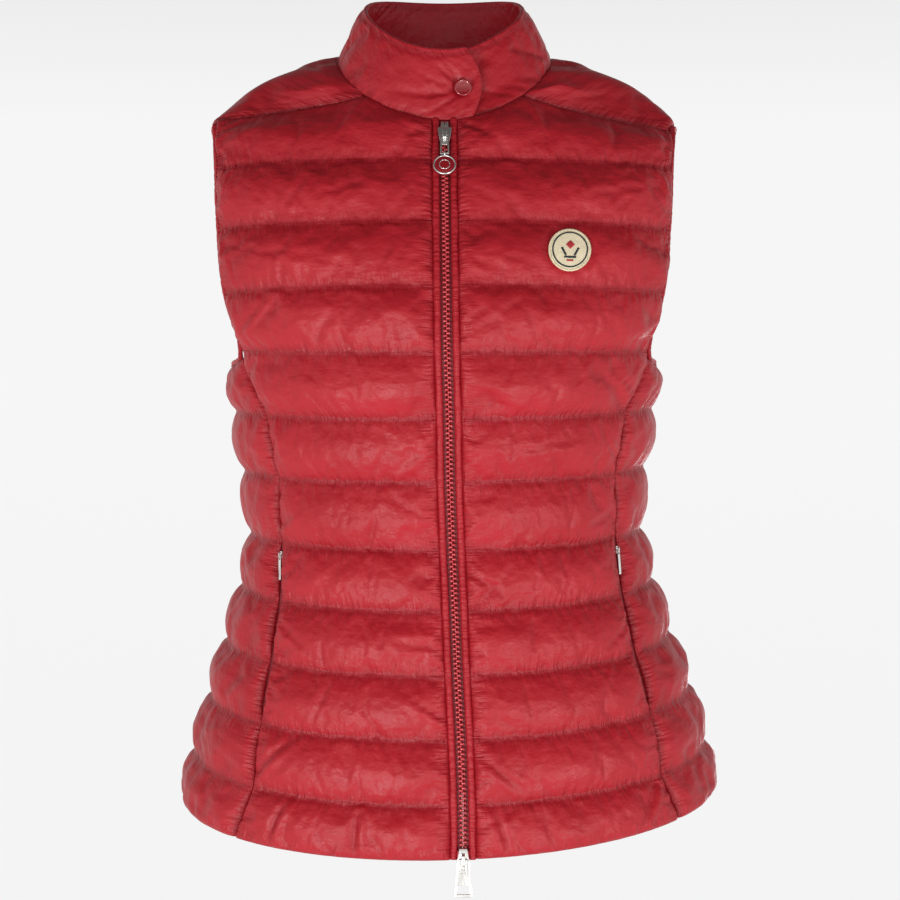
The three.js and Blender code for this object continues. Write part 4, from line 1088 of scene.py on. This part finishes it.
def block(size, bevel, segments=2, material=0):
    """A block of the given size in mm around the origin, with rounded edges."""
    bm = bmesh.new()
    bmesh.ops.create_cube(bm, size=1, matrix=Matrix.Diagonal((*size, 1)))
    bmesh.ops.bevel(bm, geom=bm.edges[:], offset=bevel, segments=segments, profile=0.5, affect="EDGES",
                    material=-1)
    return painted(bm, material)


def turned(profile, steps=48, material=0):
    """A solid turned about Z from a profile of (radius, height) in mm that starts and ends on the axis."""
    bm = bmesh.new()
    verts = [bm.verts.new((r, 0, z)) for r, z in profile]
    edges = [bm.edges.new(pair) for pair in zip(verts, verts[1:])]
    bmesh.ops.spin(bm, geom=verts + edges, cent=(0, 0, 0), axis=(0, 0, 1), angle=2 * math.pi, steps=steps,
                   use_merge=True)
    bmesh.ops.remove_doubles(bm, verts=bm.verts, dist=1e-5)
    bmesh.ops.recalc_face_normals(bm, faces=bm.faces)
    return painted(bm, material)


def hoop(radius, wire, steps=32, sides=10):
    """A ring of round wire about Z."""
    bm = bmesh.new()
    upright = Matrix.Translation((radius, 0, 0)) @ Matrix.Rotation(math.pi / 2, 4, "X")
    made = bmesh.ops.create_circle(bm, segments=sides, radius=wire, matrix=upright)
    bmesh.ops.spin(bm, geom=made["verts"] + bm.edges[:], cent=(0, 0, 0), axis=(0, 0, 1), angle=2 * math.pi,
                   steps=steps, use_merge=True)
    bmesh.ops.recalc_face_normals(bm, faces=bm.faces)
    return bm


def gather(name, parts, materials, body="vest"):
    """One piece from (solid, matrix) pairs."""
    whole = bmesh.new()
    for bm, place in parts:
        copy = bpy.data.meshes.new("part")
        bm.to_mesh(copy)
        copy.transform(place)
        whole.from_mesh(copy)
        bpy.data.meshes.remove(copy)
    piece = finish_mesh(name, whole, None, body)
    for material in materials:
        piece.data.materials.append(material)
    return piece


# %% [markdown]
# The teeth are small rounded blocks. Those of the two sides alternate, so each fills the gap between two
# others. One box holds the ends of both rows at the foot of the zip, and a stop on each tape keeps the
# slider on.

# %% Teeth and stops
PITCH, TEETH_FROM, TEETH_TO = 3.3, level_length(0.75), level_length(11.86)
tooth = block((2.9, 1.75, 2.0), 0.45, 1)
parts = [(tooth, on_zip(TEETH_FROM + k * PITCH / 2, 1.05, 1.0 if k % 2 else -1.0))
         for k in range(int((TEETH_TO - TEETH_FROM) / PITCH * 2))]
teeth = gather("zip_teeth", parts, [tooth_red])
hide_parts("zip_chain")
gather("zip_end_box", [(block((8.2, 6.0, 2.8), 0.7), on_zip(TEETH_TO + 1.5, 1.2))], [tooth_red])
stop = block((2.5, 6.5, 2.2), 0.6)
gather("zip_top_stops", [(stop, on_zip(level_length(0.2), 1.4, x)) for x in (-1.4, 1.4)], [silver])
print(len(parts), "teeth")

# %% [markdown]
# ## Sliders and pulls
# The sliders and pulls are cast metal. Their solids already have the right outline, so each is copied, and
# every sharp edge of the copy is bevelled. Each pull rides on its own body, so it swings with it.

# %% Rounded copies of the metal solids
def rounded(node, name, body, material, bevel, segments=2):
    bm = bmesh.new()
    bm.from_mesh(bpy.data.objects[node].data)
    bmesh.ops.remove_doubles(bm, verts=bm.verts, dist=2e-6)
    bmesh.ops.dissolve_limit(bm, angle_limit=math.radians(2), verts=bm.verts, edges=bm.edges)
    sharp = [e for e in bm.edges if len(e.link_faces) == 2 and e.calc_face_angle() > math.radians(28)]
    bmesh.ops.bevel(bm, geom=sharp, offset=bevel * MM, segments=segments, profile=0.5, affect="EDGES",
                    clamp_overlap=True, material=-1)
    bmesh.ops.triangulate(bm, faces=[f for f in bm.faces if len(f.verts) > 4])
    bmesh.ops.recalc_face_normals(bm, faces=bm.faces)
    piece = finish_mesh(name, bm, material, body, smooth=False)
    for polygon in piece.data.polygons:
        polygon.use_smooth = True
    piece.data.set_sharp_from_angle(angle=math.radians(40))
    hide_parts(node)
    return piece


rounded("slider_top", "top_slider", "vest", silver, 0.35)
rounded("slider_bottom", "bottom_slider", "vest", silver, 0.35)
rounded("pull_top", "top_link", "top_pull", silver, 0.3)
rounded("pull_bottom", "bottom_tab", "bottom_pull", silver, 0.3)
for side, _ in SIDES:
    rounded("pocket_slider_" + side, "small_slider_" + side, "vest", silver, 0.15)
    rounded("pocket_pull_" + side, "small_pull_" + side, "pocket_pull_" + side, silver, 0.15)

# %% [markdown]
# The disc on the top pull and the cap of the press stud are the two enamelled pieces. The disc has a silver
# rim around a slightly domed face, and the cap is enamelled all over, with a raised rim. Both are turned,
# because a lathe profile gives a crisp rim with few points.

# %% Disc of the top pull
LINK_LENGTH, EYE, PUCK_RADIUS = 16, 1.75, 8
link_pin = on_zip(level_length(0.54), 6.45)
puck_place = link_pin @ Matrix.Translation((0, -LINK_LENGTH - EYE - PUCK_RADIUS + 0.3, 0))
ring_place = link_pin @ Matrix.Translation((0, -LINK_LENGTH, 0)) @ Matrix.Rotation(math.pi / 2, 4, "Y")
silver_rim = turned([(0, -1.3), (7.2, -1.3), (7.8, -1.0), (8.0, -0.5), (8.0, 0.7), (7.75, 1.2), (7.35, 1.35),
                     (6.95, 1.2), (6.8, 0.8), (0, 0.8)])
enamel_face = turned([(0, 0.7), (6.9, 0.7), (6.9, 0.95), (6.6, 1.12), (0, 1.22)], material=1)
inner_ring = hoop(3.6, 0.28, 40, 8)
eye = hoop(EYE, 0.5, 24, 8)
puck = gather("zip_puck", [(silver_rim, puck_place), (enamel_face, puck_place),
                           (inner_ring, puck_place @ Matrix.Translation((0, 0, 1.15))), (eye, ring_place)],
              [silver, red_enamel], "puck")
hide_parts("puck")
print("disc: %.0f mm across" % (2 * PUCK_RADIUS))

# %% Cap of the press stud
SNAP_SHARE = 0.42


def on_collar(degrees, share):
    return collar_point(np.array([float(degrees)]), np.array([share]))[0]


snap_across = on_collar(SNAP_DEGREES + 1, SNAP_SHARE) - on_collar(SNAP_DEGREES - 1, SNAP_SHARE)
snap_up = on_collar(SNAP_DEGREES, SNAP_SHARE + 0.05) - on_collar(SNAP_DEGREES, SNAP_SHARE - 0.05)
snap_out = unit(np.cross(snap_across, snap_up))
snap_turn = Vector(snap_out).to_track_quat("Z", "Y").to_matrix().to_4x4()
snap_seat = on_collar(SNAP_DEGREES, SNAP_SHARE) + snap_out * (COLLAR["full"] / 2 + 0.3)
snap_place = Matrix.Scale(MM, 4) @ Matrix.Translation(snap_seat) @ snap_turn
cap = turned([(0, -1.2), (5.6, -1.2), (6.1, 0.4), (6.1, 1.1), (5.7, 1.7), (5.1, 1.9), (4.7, 1.55),
              (4.4, 1.35), (0, 1.6)])
cap_ring = (hoop(2.6, 0.22, 32, 8), snap_place @ Matrix.Translation((0, 0, 1.5)))
snap = gather("snap_button", [(cap, snap_place), cap_ring], [red_enamel])
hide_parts("snap_cap")
print("cap at", [round(float(q)) for q in snap_seat], "mm")

# %% [markdown]
# ## Badge
# The embroidered badge is left plain: a cream ground, a dark ring and a small geometric motif. Its edge is
# bound with cream thread wound over and over. It is made flat around the origin, which keeps its parts
# simple, and then bent so that it follows the curve of the padded channel under it.

# %% Surface of the badge
badge_frame = [a[0] for a in loft_frame(FRONT[1], BADGE_LEVEL, np.array([BADGE_SHARE]), -1)]
near = loft(FRONT[1], BADGE_LEVEL, np.array([BADGE_SHARE - 0.01, BADGE_SHARE + 0.01]))
per_share = float(np.linalg.norm(near[1] - near[0]) / 0.02)


def badge_bend(bm):
    """Moves a solid made flat around the origin, x across and y up, onto the bent badge."""
    here, normal, along, down = badge_frame
    xs = np.array([v.co.x for v in bm.verts])
    bent = loft(FRONT[1], BADGE_LEVEL, BADGE_SHARE + xs / per_share)
    sag = ((bent - here) * normal).sum(-1)
    for vert, drop in zip(bm.verts, sag):
        x, y, z = vert.co
        lift = drop + 6.5 + STITCHED_WALL / 2 + 0.3 - 1.2 * (y / BADGE_RADIUS) ** 2 + z
        vert.co = Vector(here + along * x - down * y + normal * lift)
    return bm


print("badge: %.0f mm across" % (2 * BADGE_RADIUS))

# %% Badge with its threads
GROUND_RADIUS, EDGE_STITCHES = 14.8, 118
MOTIF = ((0, 3.4, 4.6, 4.6, 45, 2), (-4.6, -1.6, 1.5, 6.4, 28, 1), (4.6, -1.6, 1.5, 6.4, -28, 1),
         (0, -5.6, 8.6, 1.4, 0, 1), (0, -8.0, 5.0, 1.2, 0, 2))
steps_in = [(GROUND_RADIUS - 1.8 * k, 1.0) for k in range(1, 8)]
ground = turned([(0, 0), (GROUND_RADIUS, 0), (GROUND_RADIUS, 1.0)] + steps_in + [(0, 1.0)], 72)
dark_ring = turned([(12.0, 0.9), (12.0, 1.25), (12.2, 1.4), (12.8, 1.4), (13.0, 1.25), (13.0, 0.9),
                    (12.0, 0.9)], 72, 1)
edge_stitches = bmesh.new()
for turn in np.arange(EDGE_STITCHES) * 2 * math.pi / EDGE_STITCHES:
    wound = Matrix.Rotation(0.5, 4, "Z") @ Matrix.Diagonal((1.15, 0.5, 0.75, 1))
    place = Matrix.Rotation(turn, 4, "Z") @ Matrix.Translation((14.7, 0, 0.75)) @ wound
    bmesh.ops.create_icosphere(edge_stitches, subdivisions=1, radius=1, matrix=place)
bars = []
for x, y, wide, high, turn, colour in MOTIF:
    bar = block((wide, high, 0.9), 0.3, 2, colour)
    place = Matrix.Translation((x, y, 1.05)) @ Matrix.Rotation(math.radians(turn), 4, "Z")
    bmesh.ops.transform(bar, verts=bar.verts, matrix=place)
    bars.append(bar)
to_metres = Matrix.Scale(MM, 4)
badge = gather("round_badge", [(badge_bend(ground), to_metres)], [cream_thread])
gather("badge_embroidery", [(badge_bend(bm), to_metres) for bm in [edge_stitches, dark_ring] + bars],
       [cream_thread, navy_thread, badge_red_thread])
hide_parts("badge")
print("motif:", len(bars), "bars, edge:", EDGE_STITCHES, "stitches")

# %% [markdown]
# ## Pockets
# Each pocket is a slit in the seam between front and side panel, closed by a small zip. The zip is so fine
# that only the strip in the mouth shows, so it is a narrow arched strip of tape under the edges of the two
# panels.

# %% Pocket strips
for side, sign in SIDES:
    rows = []
    for level in np.linspace(POCKET_FROM, POCKET_TO, 41):
        here, normal, along, _ = (a[0] for a in loft_frame(FRONT[sign], level, np.ones(1), -sign))
        rows.append([here + along * x + normal * (0.25 * math.cos(x / 1.6 * math.pi) - 0.2)
                     for x in (-1.6, -0.8, 0, 0.8, 1.6)])
    outer = np.array(rows)
    inner = outer - normal
    strip_piece = padded_wall("pocket_strip_" + side, outer, inner, {}, tape_weave)
    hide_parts("pocket_tape_" + side)

# %% [markdown]
# ## Stitches
# Every seam line carries its thread: short stitches with a gap between them, pulled into the cloth. Painted
# stitches would vanish close up, so each is a small stretched sphere with few faces, set along its line.

# %% Rows of stitches
def stitch_rows(name, lines, pitch=3.2, length=2.4, thick=0.34):
    """One piece with the stitches of all lines. A line is its places and the normals of the cloth there."""
    template = bmesh.new()
    bmesh.ops.create_icosphere(template, subdivisions=1, radius=1)
    single = bpy.data.meshes.new("single")
    template.to_mesh(single)
    whole = bmesh.new()
    for line, normals in lines:
        far = travelled(line)
        for at in np.arange(pitch / 2, far[-1], pitch):
            here, ahead, up = (np.array([np.interp(q, far, a[:, k]) for k in range(3)])
                               for q, a in ((at, line), (min(at + 1, far[-1]), line), (at, normals)))
            tangent = unit(ahead - here + 1e-9)
            up = unit(up - tangent * np.dot(up, tangent))
            axes = np.column_stack([tangent * length / 2, np.cross(up, tangent) * thick, up * thick])
            place = Matrix(axes.tolist()).to_4x4()
            place.translation = Vector(here + up * 0.12)
            place = Matrix.Scale(MM, 4) @ place
            single.transform(place)
            whole.from_mesh(single)
            single.transform(place.inverted())
    bpy.data.meshes.remove(single)
    piece = finish_mesh(name, whole, red_thread)
    print(name, len(piece.data.polygons), "faces")


stitch_rows("quilting_stitches", quilting)

# %% [markdown]
# ## Studio
# The vest hangs over a pale floor. A lit floor and a bright horizon give the even light of a studio, and
# the sky darkens towards the top, so the upper half of each channel turns dark and its lower half bright.
# Three soft boxes stand low: two in front and a weak one behind.

# %% Floor
FLOOR_HEIGHT = -1.1
plane = bmesh.new()
bmesh.ops.create_grid(plane, x_segments=1, y_segments=1, size=30,
                      matrix=Matrix.Translation((0, 0, FLOOR_HEIGHT)))
mesh = bpy.data.meshes.new("floor")
plane.to_mesh(mesh)
plane.free()
floor = bpy.data.objects.new("floor", mesh)
bpy.context.scene.collection.objects.link(floor)
f = Finish("pale_floor")
shade = f.blend(f.noise(f.place(), 3), (0.03, 0.03, 0.03, 1), (0.04, 0.04, 0.04, 1))
mesh.materials.append(f.surface(Base_Color=shade, Roughness=0.8, Specular_IOR_Level=0.1,
                                Emission_Color=(1, 1, 1, 1), Emission_Strength=0.88))
print("floor at %.1f m" % FLOOR_HEIGHT)

# %% Sky
world = bpy.data.worlds.new("studio")
world.use_nodes = True
tree = world.node_tree
direction = tree.nodes.new("ShaderNodeTexCoord")
height = tree.nodes.new("ShaderNodeSeparateXYZ")
fall = tree.nodes.new("ShaderNodeMapRange")
tree.links.new(direction.outputs["Generated"], height.inputs[0])
tree.links.new(height.outputs["Z"], fall.inputs[0])
# The sky has its full strength up to the first height and its least strength from the second.
for socket, value in zip(fall.inputs[1:5], (0.12, 0.75, 0.92, 0.10)):
    socket.default_value = value
tree.links.new(fall.outputs[0], tree.nodes["Background"].inputs["Strength"])
tree.nodes["Background"].inputs["Color"].default_value = (1, 1, 1, 1)
bpy.context.scene.world = world
bpy.context.scene.view_settings.view_transform = "Standard"
print("sky:", world.name)


# %% Soft boxes and camera
def softbox(name, at, towards, size, power):
    light = bpy.data.lights.new(name, "AREA")
    light.shape, light.size, light.size_y, light.energy = "RECTANGLE", size[0], size[1], power
    box = bpy.data.objects.new(name, light)
    box.location = at
    box.rotation_euler = (Vector(towards) - Vector(at)).to_track_quat("-Z", "Y").to_euler()
    bpy.context.scene.collection.objects.link(box)


softbox("key", (-0.7, -1.5, -1.0), (0, 0, -0.2), (0.8, 0.5), 20)
softbox("fill", (0.9, -1.4, -1.0), (0, 0, -0.25), (0.7, 0.5), 13)
softbox("behind", (0.5, 1.8, -0.9), (0, 0, -0.2), (1.0, 0.6), 12)

lens = bpy.data.cameras.new("camera")
lens.lens, lens.sensor_width = 85, 36
camera = bpy.data.objects.new("camera", lens)
camera.location = (0.0044, -1.55, -0.233)
camera.rotation_euler = (math.radians(90 - 1.75), 0, 0)
bpy.context.scene.collection.objects.link(camera)
bpy.context.scene.camera = camera
print("camera: %.0f mm lens" % lens.lens)
